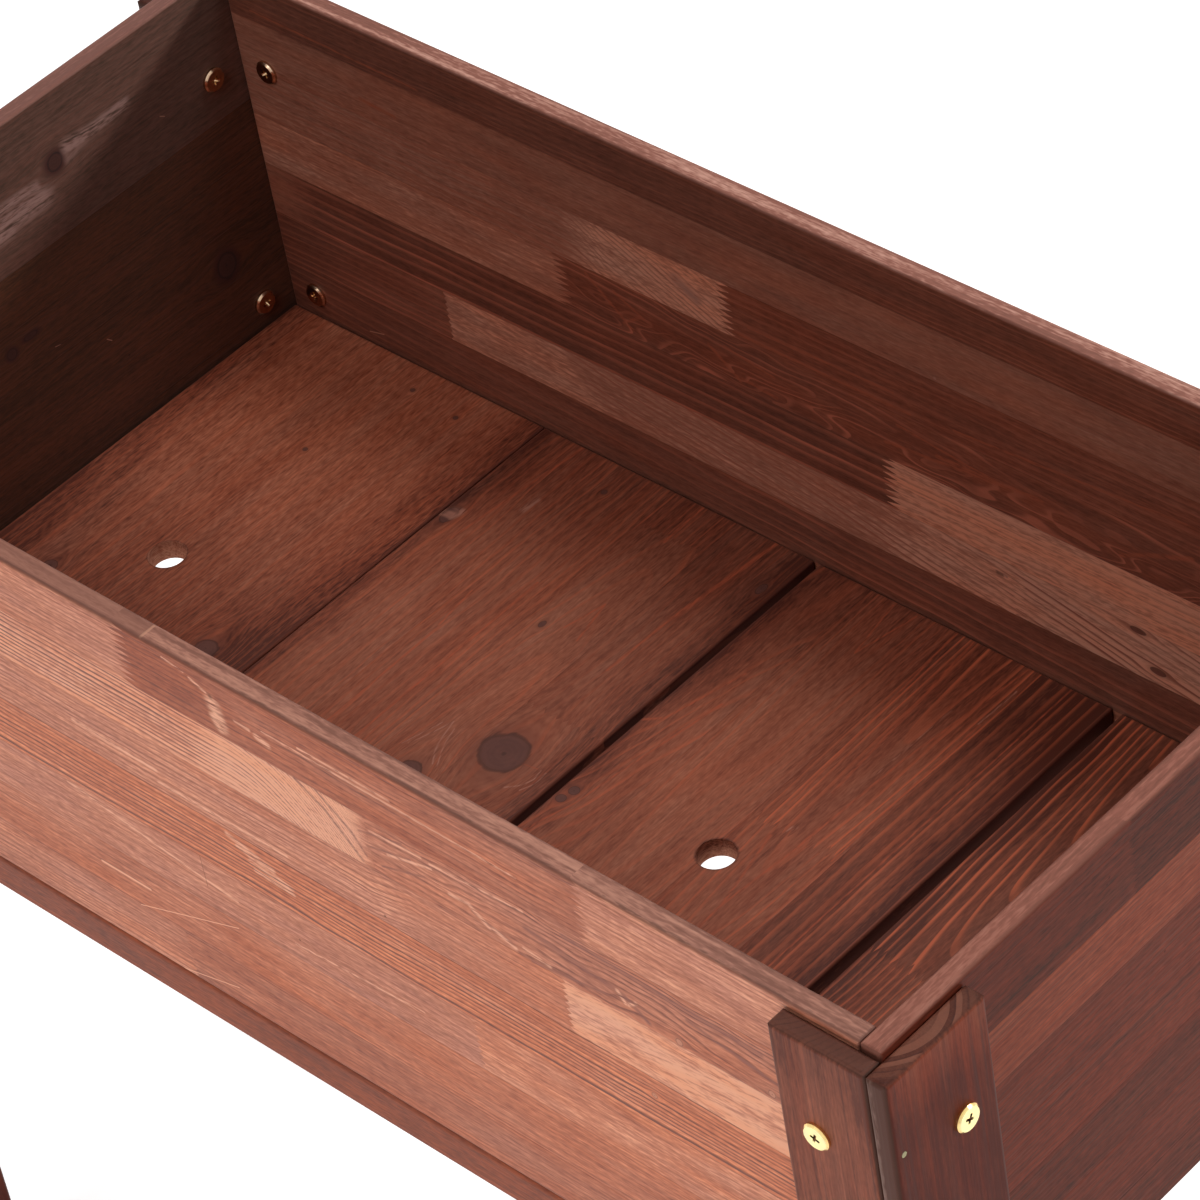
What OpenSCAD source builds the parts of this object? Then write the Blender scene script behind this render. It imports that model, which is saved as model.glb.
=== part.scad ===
// Elevated planter box: a timber trough with a loose board floor, on four L-section legs.
// X runs along the length, Y from front to back, Z up.
// The origin lies on the floor, under the middle of the box.

/* [Box] */
// Length of the planting space between the end panels
inner_length = 817; // [600:1:1200]
// Width of the planting space between the long panels
inner_width = 399; // [300:1:600]
// Height of the panels' top edge above the floor
rim_height = 760; // [600:1:950]

/* [Panels] */
// Thickness of the four wall panels
panel_thickness = 12; // [10:0.5:20]
// Height of the four wall panels
panel_height = 252; // [180:1:320]
// Radius of the panels' rounded arrises
panel_arris_radius = 1.6; // [0.8:0.1:3]

/* [Legs] */
// Thickness of the leg boards
leg_thickness = 12; // [10:0.5:20]
// Outside width of each arm of a leg's L section
leg_arm = 68; // [60:1:110]
// How far the leg tops stop below the panels' top edge
leg_drop = 4; // [0:0.5:20]
// Radius of the leg boards' rounded arrises
leg_arris_radius = 2.6; // [1:0.1:4]

/* [Floor boards] */
// Thickness of the floor boards
floor_thickness = 12.5; // [10:0.5:20]
// Radius of the floor boards' rounded arrises
floor_arris_radius = 1.2; // [0.8:0.1:3]
// Gap between each end of a floor board and the long panel beside it
floor_end_gap = 1; // [0.5:0.1:3]
// Gap between the outer floor boards and the end panels
floor_side_gap = 1.2; // [0.5:0.1:5]
// Gap between floor boards 1 and 2
floor_gap_1_2 = 0.8; // [0.5:0.1:12]
// Gap between floor boards 2 and 3
floor_gap_2_3 = 5; // [0.5:0.1:12]
// Gap between floor boards 3 and 4
floor_gap_3_4 = 6.8; // [0.5:0.1:12]
// Diameter of the drain holes in floor boards 1 and 3
drain_diameter = 22; // [10:1:40]
// Distance of board 1's drain hole from the middle of its width, towards its left edge
drain_offset_1 = 4; // [0:0.5:20]

/* [Floor rails] */
// Height of the rails that carry the floor boards
rail_height = 27.5; // [22:0.5:45]
// How far the rails reach in under the floor boards from the panels' inner face
rail_bearing_width = 16; // [10:0.5:30]
// Radius of the rails' rounded long arrises
rail_arris_radius = 4; // [1:0.5:5]
// Distance of the rail screws from the rails' ends
rail_screw_inset = 25; // [15:1:50]

/* [Connector bolts] */
// Distance of the bolts from the inside corners
bolt_from_corner = 22; // [16:0.5:34]
// Distance of the upper bolts below the panels' top edge
upper_bolt_drop = 63; // [40:1:110]
// Distance of the lower bolts above the floor boards
lower_bolt_rise = 15.5; // [11:0.5:60]
// Diameter of the bolt heads and the cap nut heads
head_diameter = 15; // [12:0.5:18]
// Thickness of the bolt heads and the cap nut heads
head_thickness = 2.5; // [2:0.1:3.5]
// Width of the bevel round the heads
head_bevel = 1.1; // [0.5:0.1:1.5]
// Diameter of the bolt shanks
shank_diameter = 6; // [4:0.5:8]
// Wall of the cap nut barrels round the shanks
barrel_wall = 1; // [0.8:0.1:2]
// Length of wood left between a barrel's mouth and the joint of panel and leg
barrel_setback = 1.5; // [0.5:0.5:4]
// Distance from the tip of a shank to the bottom of the cap nut's bore
shank_tip_gap = 2; // [0.5:0.5:3]
// Width across the cross recess in the heads
recess_span = 6; // [4:0.5:7]
// Width of each slot of the cross recess
recess_slot = 1.5; // [0.8:0.1:2]
// Depth of the cross recess
recess_depth = 1.8; // [1:0.1:1.9]

/* [Screws and brads] */
// Diameter of the rail screws
screw_diameter = 4; // [3:0.5:5]
// Diameter of the rail screws' countersunk heads
screw_head_diameter = 8; // [7:0.5:9]
// Wood left between a rail screw's tip and the leg's outer face
screw_tip_cover = 4; // [2:0.5:6]
// Diameter of the leg brads
brad_diameter = 1.8; // [1.2:0.1:2.5]
// Diameter of the leg brads' heads
brad_head_diameter = 3.2; // [2.8:0.1:5]
// Thickness of the leg brads' heads
brad_head_thickness = 0.8; // [0.5:0.1:1.5]
// How far the brads reach into the face boards
brad_reach = 18; // [10:1:30]
// Distance of each leg's first brad below its top, and of its last above the floor
brad_end_distance = 47; // [30:1:90]
// Number of brads in each leg
brad_count = 5; // [2:1:8]

/* [Clearances] */
// Clearance all round a fastener in its hole
hole_clearance = 0.25; // [0.2:0.05:0.5]

/* [Hidden] */

// Stained wood and plated steel, as they look from a step away
panel_colour = [0.55, 0.32, 0.25];
end_colour = [0.43, 0.25, 0.21];
leg_colour = [0.36, 0.22, 0.18];
floor_colour = [0.47, 0.26, 0.20];
rail_colour = [0.50, 0.31, 0.25];
gold = [0.85, 0.68, 0.30];
silver = [0.75, 0.73, 0.70];

// Half sizes of the planting space, and the outer faces of panels and legs
half_length = inner_length / 2;
half_width = inner_width / 2;
panel_face_x = half_length + panel_thickness;
panel_face_y = half_width + panel_thickness;
leg_face_x = panel_face_x + leg_thickness;
leg_face_y = panel_face_y + leg_thickness;

// Heights above the floor
panel_foot = rim_height - panel_height;
leg_height = rim_height - leg_drop;
upper_bolt_z = rim_height - upper_bolt_drop;
floor_top = panel_foot + floor_thickness;
lower_bolt_z = floor_top + lower_bolt_rise;
bolt_heights = [upper_bolt_z, lower_bolt_z];
rail_z = panel_foot - rail_height / 2;

// The two boards of a leg: the face board lies on the long panel, and the end board
// covers its edge and lies on the end panel
face_board_width = leg_arm - leg_thickness;
end_board_width = leg_arm;

// Floor boards, numbered from the left
floor_gaps = [floor_gap_1_2, floor_gap_2_3, floor_gap_3_4];
floor_gap_total = floor_gap_1_2 + floor_gap_2_3 + floor_gap_3_4;
floor_board_count = 4;
floor_width = (inner_length - 2 * floor_side_gap - floor_gap_total) / floor_board_count;
floor_board_length = inner_width - 2 * floor_end_gap;
drain_radius = drain_diameter / 2;

// Rails are as deep as the panels' thickness and the bearing together
rail_depth = panel_thickness + rail_bearing_width;

// Fastener sizes that follow from what they pass through
wall_thickness = panel_thickness + leg_thickness;
barrel_length = panel_thickness - barrel_setback;
// Metal left between a cap nut's bore and its head
nut_bore_skin = 1;
// How far shanks and barrels run up into their heads
head_root = head_thickness / 4;
shank_length = wall_thickness - nut_bore_skin - shank_tip_gap;
shank_hole = shank_diameter + 2 * hole_clearance;
barrel_diameter = shank_hole + 2 * barrel_wall;
barrel_hole = barrel_diameter + 2 * hole_clearance;
screw_length = rail_depth + leg_thickness - screw_tip_cover;
screw_head_depth = (screw_head_diameter - screw_diameter) / 2;
screw_bore = screw_diameter + 2 * hole_clearance;
brad_bore = brad_diameter + 2 * hole_clearance;
brad_length = leg_thickness + brad_reach;
brad_first_z = leg_height - brad_end_distance;
brad_step = (brad_first_z - brad_end_distance) / (brad_count - 1);
brad_heights = [for (i = [0 : brad_count - 1]) brad_first_z - i * brad_step];

// Overrun that lets a cut pass clean through a face
overrun = 1;
// Each head stops at its own angle when it is tightened
turn_step = 37;
heads_per_group = 4;
long_bolt_group = 0;
long_nut_group = 1;
end_bolt_group = 2;
end_nut_group = 3;

// Smoothness of the rounds
$fn = 48;

// Angle at which a head stands, from its group, its side and its level, each counted from 0
function head_turn(group, side, level) =
    turn_step * (heads_per_group * group + 2 * side + level);

// Rectangle with rounded corners, centred on the origin
module rounded_rectangle(size, radius) {
    square([size[0] - 2 * radius, size[1]], center = true);
    square([size[0], size[1] - 2 * radius], center = true);
    for (x = [-1, 1], y = [-1, 1])
        translate([x * (size[0] / 2 - radius), y * (size[1] / 2 - radius)])
            circle(r = radius);
}

// Board with every arris rounded, centred on the origin
module eased_board(size, arris) {
    intersection() {
        linear_extrude(height = size[2], center = true)
            rounded_rectangle([size[0], size[1]], arris);
        rotate([90, 0, 0])
            linear_extrude(height = size[1], center = true)
                rounded_rectangle([size[0], size[2]], arris);
        rotate([90, 0, 90])
            linear_extrude(height = size[0], center = true)
                rounded_rectangle([size[1], size[2]], arris);
    }
}

// Bores along Y at the bolts of one end of a long wall, from one face to the other
module bores_along_y(diameter, x, y_from, y_to) {
    for (z = bolt_heights)
        translate([x, y_from - overrun, z])
            rotate([-90, 0, 0])
                cylinder(d = diameter, h = y_to - y_from + 2 * overrun);
}

// Bores along X at the bolts of one side of an end wall, from one face to the other
module bores_along_x(diameter, y, x_from, x_to) {
    for (z = bolt_heights)
        translate([x_from - overrun, y, z])
            rotate([0, 90, 0])
                cylinder(d = diameter, h = x_to - x_from + 2 * overrun);
}

// Long panel, drawn at the front
module long_panel() {
    difference() {
        translate([0, -half_width - panel_thickness / 2, panel_foot + panel_height / 2])
            eased_board([inner_length, panel_thickness, panel_height], panel_arris_radius);
        for (side = [-1, 1])
            bores_along_y(barrel_hole, side * (half_length - bolt_from_corner),
                -panel_face_y, -half_width);
    }
}

// End panel, drawn at the left: it runs out to the long panels' outer faces
module end_panel() {
    difference() {
        translate([-half_length - panel_thickness / 2, 0, panel_foot + panel_height / 2])
            eased_board([panel_thickness, 2 * panel_face_y, panel_height], panel_arris_radius);
        for (side = [-1, 1])
            bores_along_x(barrel_hole, side * (half_width - bolt_from_corner),
                -panel_face_x, -half_length);
    }
}

// Left edge of a floor board, counted from 0
function floor_edge(i) = i == 0
    ? -half_length + floor_side_gap
    : floor_edge(i - 1) + floor_width + floor_gaps[i - 1];

// Floor board counted from 0, with a drain hole where an offset is given
module floor_board(i, drain_offset = undef) {
    x = floor_edge(i) + floor_width / 2;
    z = panel_foot + floor_thickness / 2;
    difference() {
        translate([x, 0, z])
            eased_board([floor_width, floor_board_length, floor_thickness], floor_arris_radius);
        if (drain_offset != undef)
            translate([x - drain_offset, 0, panel_foot - overrun])
                cylinder(r = drain_radius, h = floor_thickness + 2 * overrun);
    }
}

// Floor rail, drawn at the front: it runs under both end panels to the leg boards
module floor_rail() {
    y = -panel_face_y + rail_depth / 2;
    difference() {
        translate([0, y, rail_z])
            rotate([90, 0, 90])
                linear_extrude(height = 2 * panel_face_x, center = true)
                    rounded_rectangle([rail_depth, rail_height], rail_arris_radius);
        for (side = [-1, 1])
            translate([side * (panel_face_x - rail_screw_inset), -panel_face_y, rail_z])
                rotate([-90, 0, 0])
                    screw_hole(rail_depth);
    }
}

// Hole for a rail screw through a depth along Z, countersunk at its far end
module screw_hole(depth) {
    cone = screw_head_depth + hole_clearance;
    translate([0, 0, -overrun])
        cylinder(d = screw_bore, h = depth + 2 * overrun);
    translate([0, 0, depth - cone])
        cylinder(d1 = screw_bore, d2 = screw_bore + 2 * cone, h = cone);
}

// Face board of a leg, drawn at the front left
module leg_face_board() {
    x = -panel_face_x + face_board_width / 2;
    y = -panel_face_y - leg_thickness / 2;
    difference() {
        translate([x, y, leg_height / 2])
            eased_board([face_board_width, leg_thickness, leg_height], leg_arris_radius);
        bores_along_y(shank_hole, -half_length + bolt_from_corner, -leg_face_y, -panel_face_y);
        translate([-panel_face_x + rail_screw_inset, -panel_face_y, rail_z])
            rotate([90, 0, 0])
                translate([0, 0, -overrun])
                    cylinder(d = screw_bore,
                        h = leg_thickness - screw_tip_cover + hole_clearance + overrun);
        for (z = brad_heights)
            translate([-panel_face_x - overrun, y, z])
                rotate([0, 90, 0])
                    cylinder(d = brad_bore, h = brad_reach + hole_clearance + overrun);
    }
}

// End board of a leg, drawn at the front left
module leg_end_board() {
    x = -panel_face_x - leg_thickness / 2;
    y = -leg_face_y + end_board_width / 2;
    difference() {
        translate([x, y, leg_height / 2])
            eased_board([leg_thickness, end_board_width, leg_height], leg_arris_radius);
        bores_along_x(shank_hole, -half_width + bolt_from_corner, -leg_face_x, -panel_face_x);
        for (z = brad_heights)
            translate([-leg_face_x, -panel_face_y - leg_thickness / 2, z])
                rotate([0, 90, 0])
                    brad_hole();
    }
}

// Hole for a brad through an end board along Z, with its head set flush
module brad_hole() {
    translate([0, 0, -overrun])
        cylinder(d = brad_bore, h = leg_thickness + 2 * overrun);
    translate([0, 0, -overrun])
        cylinder(d = brad_head_diameter + 2 * hole_clearance, h = brad_head_thickness + overrun);
}

// Cross recess sunk from the origin down along -Z: two slots that taper to a point
module cross_recess(span, slot, depth, turn) {
    rotate([0, 0, turn])
        intersection() {
            union() {
                translate([0, 0, -depth / 2])
                    cube([span + overrun, slot, depth + overrun], center = true);
                translate([0, 0, -depth / 2])
                    cube([slot, span + overrun, depth + overrun], center = true);
            }
            translate([0, 0, -depth])
                cylinder(d1 = slot, d2 = span, h = depth);
        }
}

// Flat head with a bevelled rim on the plane z = 0, and its cross recess
module flat_head(turn) {
    radius = head_diameter / 2;
    difference() {
        rotate_extrude()
            polygon([
                [0, 0],
                [radius, 0],
                [radius, head_thickness - head_bevel],
                [radius - head_bevel, head_thickness],
                [0, head_thickness]
            ]);
        translate([0, 0, head_thickness])
            cross_recess(recess_span, recess_slot, recess_depth, turn);
    }
}

// Connector bolt: head on the plane z = 0, shank down along -Z
module connector_bolt(turn) {
    flat_head(turn);
    translate([0, 0, -shank_length])
        cylinder(d = shank_diameter, h = shank_length + head_root);
}

// Cap nut: head on the plane z = 0, hollow barrel down along -Z
module cap_nut(turn) {
    flat_head(turn);
    difference() {
        translate([0, 0, -barrel_length])
            cylinder(d = barrel_diameter, h = barrel_length + head_root);
        translate([0, 0, -barrel_length - overrun])
            cylinder(d = shank_hole, h = barrel_length - nut_bore_skin + overrun);
    }
}

// Four bolts of a long wall, drawn at the front with their heads on the legs
module long_wall_bolts() {
    for (side = [0, 1], level = [0, 1])
        translate([(2 * side - 1) * (half_length - bolt_from_corner), -leg_face_y, bolt_heights[level]])
            rotate([90, 0, 0])
                connector_bolt(head_turn(long_bolt_group, side, level));
}

// Four cap nuts of a long wall, drawn at the front with their heads inside the box
module long_wall_cap_nuts() {
    for (side = [0, 1], level = [0, 1])
        translate([(2 * side - 1) * (half_length - bolt_from_corner), -half_width, bolt_heights[level]])
            rotate([-90, 0, 0])
                cap_nut(head_turn(long_nut_group, side, level));
}

// Four bolts of an end wall, drawn at the left with their heads on the legs
module end_wall_bolts() {
    for (side = [0, 1], level = [0, 1])
        translate([-leg_face_x, (2 * side - 1) * (half_width - bolt_from_corner), bolt_heights[level]])
            rotate([0, -90, 0])
                connector_bolt(head_turn(end_bolt_group, side, level));
}

// Four cap nuts of an end wall, drawn at the left with their heads inside the box
module end_wall_cap_nuts() {
    for (side = [0, 1], level = [0, 1])
        translate([-half_length, (2 * side - 1) * (half_width - bolt_from_corner), bolt_heights[level]])
            rotate([0, 90, 0])
                cap_nut(head_turn(end_nut_group, side, level));
}

// Brads of a leg, drawn at the front left, driven through the end board
module leg_brads() {
    for (z = brad_heights)
        translate([-leg_face_x, -panel_face_y - leg_thickness / 2, z])
            rotate([0, 90, 0]) {
                cylinder(d = brad_head_diameter, h = brad_head_thickness);
                cylinder(d = brad_diameter, h = brad_length);
            }
}

// Two screws of a floor rail, drawn at the front, driven outwards into the legs
module rail_screws() {
    for (side = [0, 1])
        translate([(2 * side - 1) * (panel_face_x - rail_screw_inset), -panel_face_y + rail_depth, rail_z])
            rotate([-90, 0, 0])
                countersunk_screw(turn_step * side);
}

// Countersunk screw: flat of the head on the plane z = 0, shank down along -Z
module countersunk_screw(turn) {
    difference() {
        union() {
            translate([0, 0, -screw_head_depth])
                cylinder(d1 = screw_diameter, d2 = screw_head_diameter, h = screw_head_depth);
            translate([0, 0, -screw_length])
                cylinder(d = screw_diameter, h = screw_length);
        }
        cross_recess(screw_head_diameter / 2, recess_slot / 2, recess_depth, turn);
    }
}

// The box is symmetrical about both middle planes, so each wall and leg is mirrored
module at_back() { mirror([0, 1, 0]) children(); }
module at_right() { mirror([1, 0, 0]) children(); }

module front_panel() { color(panel_colour) long_panel(); }
module back_panel() { color(panel_colour) at_back() long_panel(); }
module left_end_panel() { color(end_colour) end_panel(); }
module right_end_panel() { color(end_colour) at_right() end_panel(); }

module floor_board_1() { color(floor_colour) floor_board(0, drain_offset_1); }
module floor_board_2() { color(floor_colour) floor_board(1); }
module floor_board_3() { color(floor_colour) floor_board(2, 0); }
module floor_board_4() { color(floor_colour) floor_board(3); }

module front_floor_rail() { color(rail_colour) floor_rail(); }
module back_floor_rail() { color(rail_colour) at_back() floor_rail(); }

module front_left_leg_face_board() { color(leg_colour) leg_face_board(); }
module front_left_leg_end_board() { color(leg_colour) leg_end_board(); }
module front_right_leg_face_board() { color(leg_colour) at_right() leg_face_board(); }
module front_right_leg_end_board() { color(leg_colour) at_right() leg_end_board(); }
module back_left_leg_face_board() { color(leg_colour) at_back() leg_face_board(); }
module back_left_leg_end_board() { color(leg_colour) at_back() leg_end_board(); }
module back_right_leg_face_board() { color(leg_colour) at_back() at_right() leg_face_board(); }
module back_right_leg_end_board() { color(leg_colour) at_back() at_right() leg_end_board(); }

module front_bolts() { color(gold) long_wall_bolts(); }
module back_bolts() { color(gold) at_back() long_wall_bolts(); }
module left_end_bolts() { color(gold) end_wall_bolts(); }
module right_end_bolts() { color(gold) at_right() end_wall_bolts(); }
module front_cap_nuts() { color(gold) long_wall_cap_nuts(); }
module back_cap_nuts() { color(gold) at_back() long_wall_cap_nuts(); }
module left_end_cap_nuts() { color(gold) end_wall_cap_nuts(); }
module right_end_cap_nuts() { color(gold) at_right() end_wall_cap_nuts(); }

module front_left_leg_brads() { color(silver) leg_brads(); }
module front_right_leg_brads() { color(silver) at_right() leg_brads(); }
module back_left_leg_brads() { color(silver) at_back() leg_brads(); }
module back_right_leg_brads() { color(silver) at_back() at_right() leg_brads(); }
module front_rail_screws() { color(gold) rail_screws(); }
module back_rail_screws() { color(gold) at_back() rail_screws(); }

front_panel();
back_panel();
left_end_panel();
right_end_panel();
floor_board_1();
floor_board_2();
floor_board_3();
floor_board_4();
front_floor_rail();
back_floor_rail();
front_left_leg_face_board();
front_left_leg_end_board();
front_right_leg_face_board();
front_right_leg_end_board();
back_left_leg_face_board();
back_left_leg_end_board();
back_right_leg_face_board();
back_right_leg_end_board();
front_bolts();
back_bolts();
left_end_bolts();
right_end_bolts();
front_cap_nuts();
back_cap_nuts();
left_end_cap_nuts();
right_end_cap_nuts();
front_left_leg_brads();
front_right_leg_brads();
back_left_leg_brads();
back_right_leg_brads();
front_rail_screws();
back_rail_screws();
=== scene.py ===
"""Looks of an elevated planter box: stained boards, zinc fasteners, studio light and camera."""

import logging
import math
from dataclasses import dataclass, replace
from enum import Enum
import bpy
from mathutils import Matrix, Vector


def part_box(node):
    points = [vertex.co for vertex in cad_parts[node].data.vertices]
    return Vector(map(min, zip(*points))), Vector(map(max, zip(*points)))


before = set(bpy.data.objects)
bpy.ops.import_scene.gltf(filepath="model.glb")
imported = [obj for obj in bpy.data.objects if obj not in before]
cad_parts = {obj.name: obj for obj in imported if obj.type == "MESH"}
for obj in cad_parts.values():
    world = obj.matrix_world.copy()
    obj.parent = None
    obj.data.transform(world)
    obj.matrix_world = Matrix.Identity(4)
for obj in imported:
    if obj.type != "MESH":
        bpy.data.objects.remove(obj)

from types import SimpleNamespace
from typing import ClassVar, Optional, Union

import bpy
from mathutils import Matrix, Vector

LOG = logging.getLogger("planter")
MM = 0.001
Colour = tuple[float, float, float]
Place = tuple[float, float]
WHITE: Colour = (1.0, 1.0, 1.0)


class Signal:
    """A value that runs through a node tree. Arithmetic on it adds the nodes."""

    def __init__(self, graph: "Graph", socket: bpy.types.NodeSocket) -> None:
        """Keeps the tree and the socket that gives the value."""
        self.graph = graph
        self.socket = socket

    def __add__(self, other: "Term") -> "Signal":
        """Sum."""
        return self.graph.math("ADD", self, other)

    def __sub__(self, other: "Term") -> "Signal":
        """Difference."""
        return self.graph.math("SUBTRACT", self, other)

    def __rsub__(self, other: float) -> "Signal":
        """Difference, with the signal second."""
        return self.graph.math("SUBTRACT", other, self)

    def __mul__(self, other: "Term") -> "Signal":
        """Product."""
        return self.graph.math("MULTIPLY", self, other)

    def __truediv__(self, other: "Term") -> "Signal":
        """Quotient."""
        return self.graph.math("DIVIDE", self, other)

    def __abs__(self) -> "Signal":
        """Size without sign."""
        return self.graph.math("ABSOLUTE", self)

    __radd__ = __add__
    __rmul__ = __mul__


Term = Union[Signal, float]


class Graph:
    """A node tree being made, with a short call for each kind of node."""

    def __init__(self, tree: bpy.types.NodeTree) -> None:
        """Keeps the tree."""
        self.tree = tree

    def add(self, kind: str, **options: object) -> bpy.types.Node:
        """Adds a node.

        Args:
            kind: The node's type, without its ShaderNode prefix.
            options: The node's own settings.

        Returns:
            The new node.
        """
        node = self.tree.nodes.new("ShaderNode" + kind)
        for name, value in options.items():
            setattr(node, name, value)
        return node

    def feed(self, socket: bpy.types.NodeSocket, value: object) -> None:
        """Links a signal to a socket, or sets the socket to a plain value.

        Args:
            socket: The input.
            value: A signal, a number, a vector or a colour.
        """
        if isinstance(value, Signal):
            self.tree.links.new(value.socket, socket)
        elif socket.type == "RGBA":
            socket.default_value = (*value, 1.0)
        else:
            socket.default_value = value

    def fill(self, node: bpy.types.Node, values: dict[str, object]) -> None:
        """Feeds a node's inputs by name."""
        for name, value in values.items():
            self.feed(node.inputs[name], value)

    def math(self, operation: str, *terms: Term) -> Signal:
        """One Math node on the given terms.

        Args:
            operation: The node's operation.
            terms: Numbers, or signals that carry them.

        Returns:
            The result.
        """
        node = self.add("Math", operation=operation)
        for socket, term in zip(node.inputs, terms):
            self.feed(socket, term)
        return Signal(self, node.outputs[0])

    def vector(self, operation: str, *terms: object) -> Signal:
        """One Vector Math node on the given terms.

        Args:
            operation: The node's operation.
            terms: Vectors, or signals that carry them.

        Returns:
            A vector, or a number for a distance or a dot product.
        """
        node = self.add("VectorMath", operation=operation)
        for socket, term in zip(node.inputs, terms):
            self.feed(socket, term)
        number = operation in ("DOT_PRODUCT", "DISTANCE")
        return Signal(self, node.outputs["Value" if number else "Vector"])

    def split(self, vector: Signal) -> tuple[Signal, Signal, Signal]:
        """The three parts of a vector.

        Args:
            vector: The vector.

        Returns:
            Its parts along x, y and z.
        """
        node = self.add("SeparateXYZ")
        self.feed(node.inputs[0], vector)
        return tuple(Signal(self, socket) for socket in node.outputs)

    def join(self, *parts: Term) -> Signal:
        """A vector from three numbers.

        Args:
            parts: The three numbers.

        Returns:
            The vector.
        """
        node = self.add("CombineXYZ")
        for socket, part in zip(node.inputs, parts):
            self.feed(socket, part)
        return Signal(self, node.outputs[0])

    def rise(self, value: Term, low: float, high: float) -> Signal:
        """Smooth step.

        Args:
            value: What is measured.
            low: Where the step is 0.
            high: Where the step is 1, which may be lower than low.

        Returns:
            A mask from 0 to 1.
        """
        turned = low > high
        node = self.add("MapRange", interpolation_type="SMOOTHSTEP")
        self.feed(node.inputs[0], value)
        for socket, bound in zip(node.inputs[1:5], (min(low, high), max(low, high), turned, not turned)):
            self.feed(socket, float(bound))
        return Signal(self, node.outputs[0])

    def most(self, first: Term, second: Term) -> Signal:
        """The larger of two numbers."""
        return self.math("MAXIMUM", first, second)

    def least(self, first: Term, second: Term) -> Signal:
        """The smaller of two numbers."""
        return self.math("MINIMUM", first, second)

    def mix(
        self, factor: Term, plain: object, other: object, kind: str = "FLOAT", mode: str = "MIX"
    ) -> Signal:
        """Goes from one value to another with the factor.

        Args:
            factor: 0 for the first value, 1 for the second.
            plain: The first value.
            other: The second value.
            kind: FLOAT, VECTOR or RGBA.
            mode: How two colours are blended.

        Returns:
            The value.
        """
        node = self.add("Mix", data_type=kind, blend_type=mode)
        place = ("FLOAT", "VECTOR", "RGBA").index(kind)
        first = 2 * place + 2
        for index, value in ((0, factor), (first, plain), (first + 1, other)):
            self.feed(node.inputs[index], value)
        return Signal(self, node.outputs[place])

    def tint(self, factor: Term, plain: object, other: object, mode: str = "MIX") -> Signal:
        """Goes from one colour to another with the factor."""
        return self.mix(factor, plain, other, "RGBA", mode)

    def noise(self, vector: Signal, scale: Colour, detail: float = 2.0, shift: object = None) -> Signal:
        """Noise that is stretched along the axes, centred on 0.

        Args:
            vector: The point in millimetres.
            scale: The size of a patch on each axis, in millimetres.
            detail: Octaves of finer noise.
            shift: A vector that moves the pattern.

        Returns:
            A number from about -1 to 1.
        """
        place = self.vector("DIVIDE", vector, scale)
        if shift is not None:
            place = self.vector("ADD", place, shift)
        node = self.add("TexNoise", noise_dimensions="3D")
        self.fill(node, {"Vector": place, "Scale": 1.0, "Detail": detail})
        return (Signal(self, node.outputs[0]) - 0.5) * 2.4

    def chance(self, value: Term) -> Signal:
        """A fixed random number from 0 to 1 for each value.

        Args:
            value: The value.

        Returns:
            The random number.
        """
        node = self.add("TexWhiteNoise", noise_dimensions="1D")
        self.feed(node.inputs["W"], value)
        return Signal(self, node.outputs["Value"])

    def scale_of(self, factor: Term, stops: tuple[Colour, ...]) -> Signal:
        """A colour scale with its stops evenly spaced.

        Args:
            factor: From 0 to 1.
            stops: The colours.

        Returns:
            The colour.
        """
        node = self.add("ValToRGB")
        marks = node.color_ramp.elements
        while len(marks) < len(stops):
            marks.new(0.5)
        for place, (mark, stop) in enumerate(zip(marks, stops)):
            mark.position = place / (len(stops) - 1)
            mark.color = (*stop, 1.0)
        self.feed(node.inputs[0], factor)
        return Signal(self, node.outputs[0])

    def millimetres(self) -> Signal:
        """The point in the object's own coordinates, in millimetres."""
        node = self.add("TexCoord")
        return self.vector("MULTIPLY", Signal(self, node.outputs["Object"]), (1 / MM, 1 / MM, 1 / MM))

    def bump(self, strength: float, depth: float, height: Signal) -> Signal:
        """The normal of a surface with a fine relief, whose depth is in millimetres.

        Args:
            strength: How much of the relief shows.
            depth: The relief's depth, in millimetres.
            height: The relief's height, from 0 to 1.

        Returns:
            The normal.
        """
        node = self.add("Bump")
        self.fill(node, {"Strength": strength, "Distance": depth * MM, "Height": height})
        return Signal(self, node.outputs[0])

    def seen(self) -> Signal:
        """1 for what the camera sees, straight or by a mirror or glass, and 0 for what only gives light.

        Returns:
            The mask.
        """
        path = self.add("LightPath")
        ways = (Signal(self, path.outputs[f"Is {way} Ray"]) for way in ("Camera", "Glossy", "Transmission"))
        return self.least(sum(ways, 0.0), 1.0)


def new_material(name: str) -> tuple[bpy.types.Material, Graph, bpy.types.Node]:
    """A material, its graph and its shader.

    Args:
        name: The material's name.

    Returns:
        The material, its graph and its shader.
    """
    material = bpy.data.materials.new(name)
    material.use_nodes = True
    return material, Graph(material.node_tree), material.node_tree.nodes["Principled BSDF"]


def names_of(sockets: dict[str, str]) -> list[str]:
    """The names in a list of sockets, in order."""
    return " ".join(sockets.values()).split()


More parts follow.
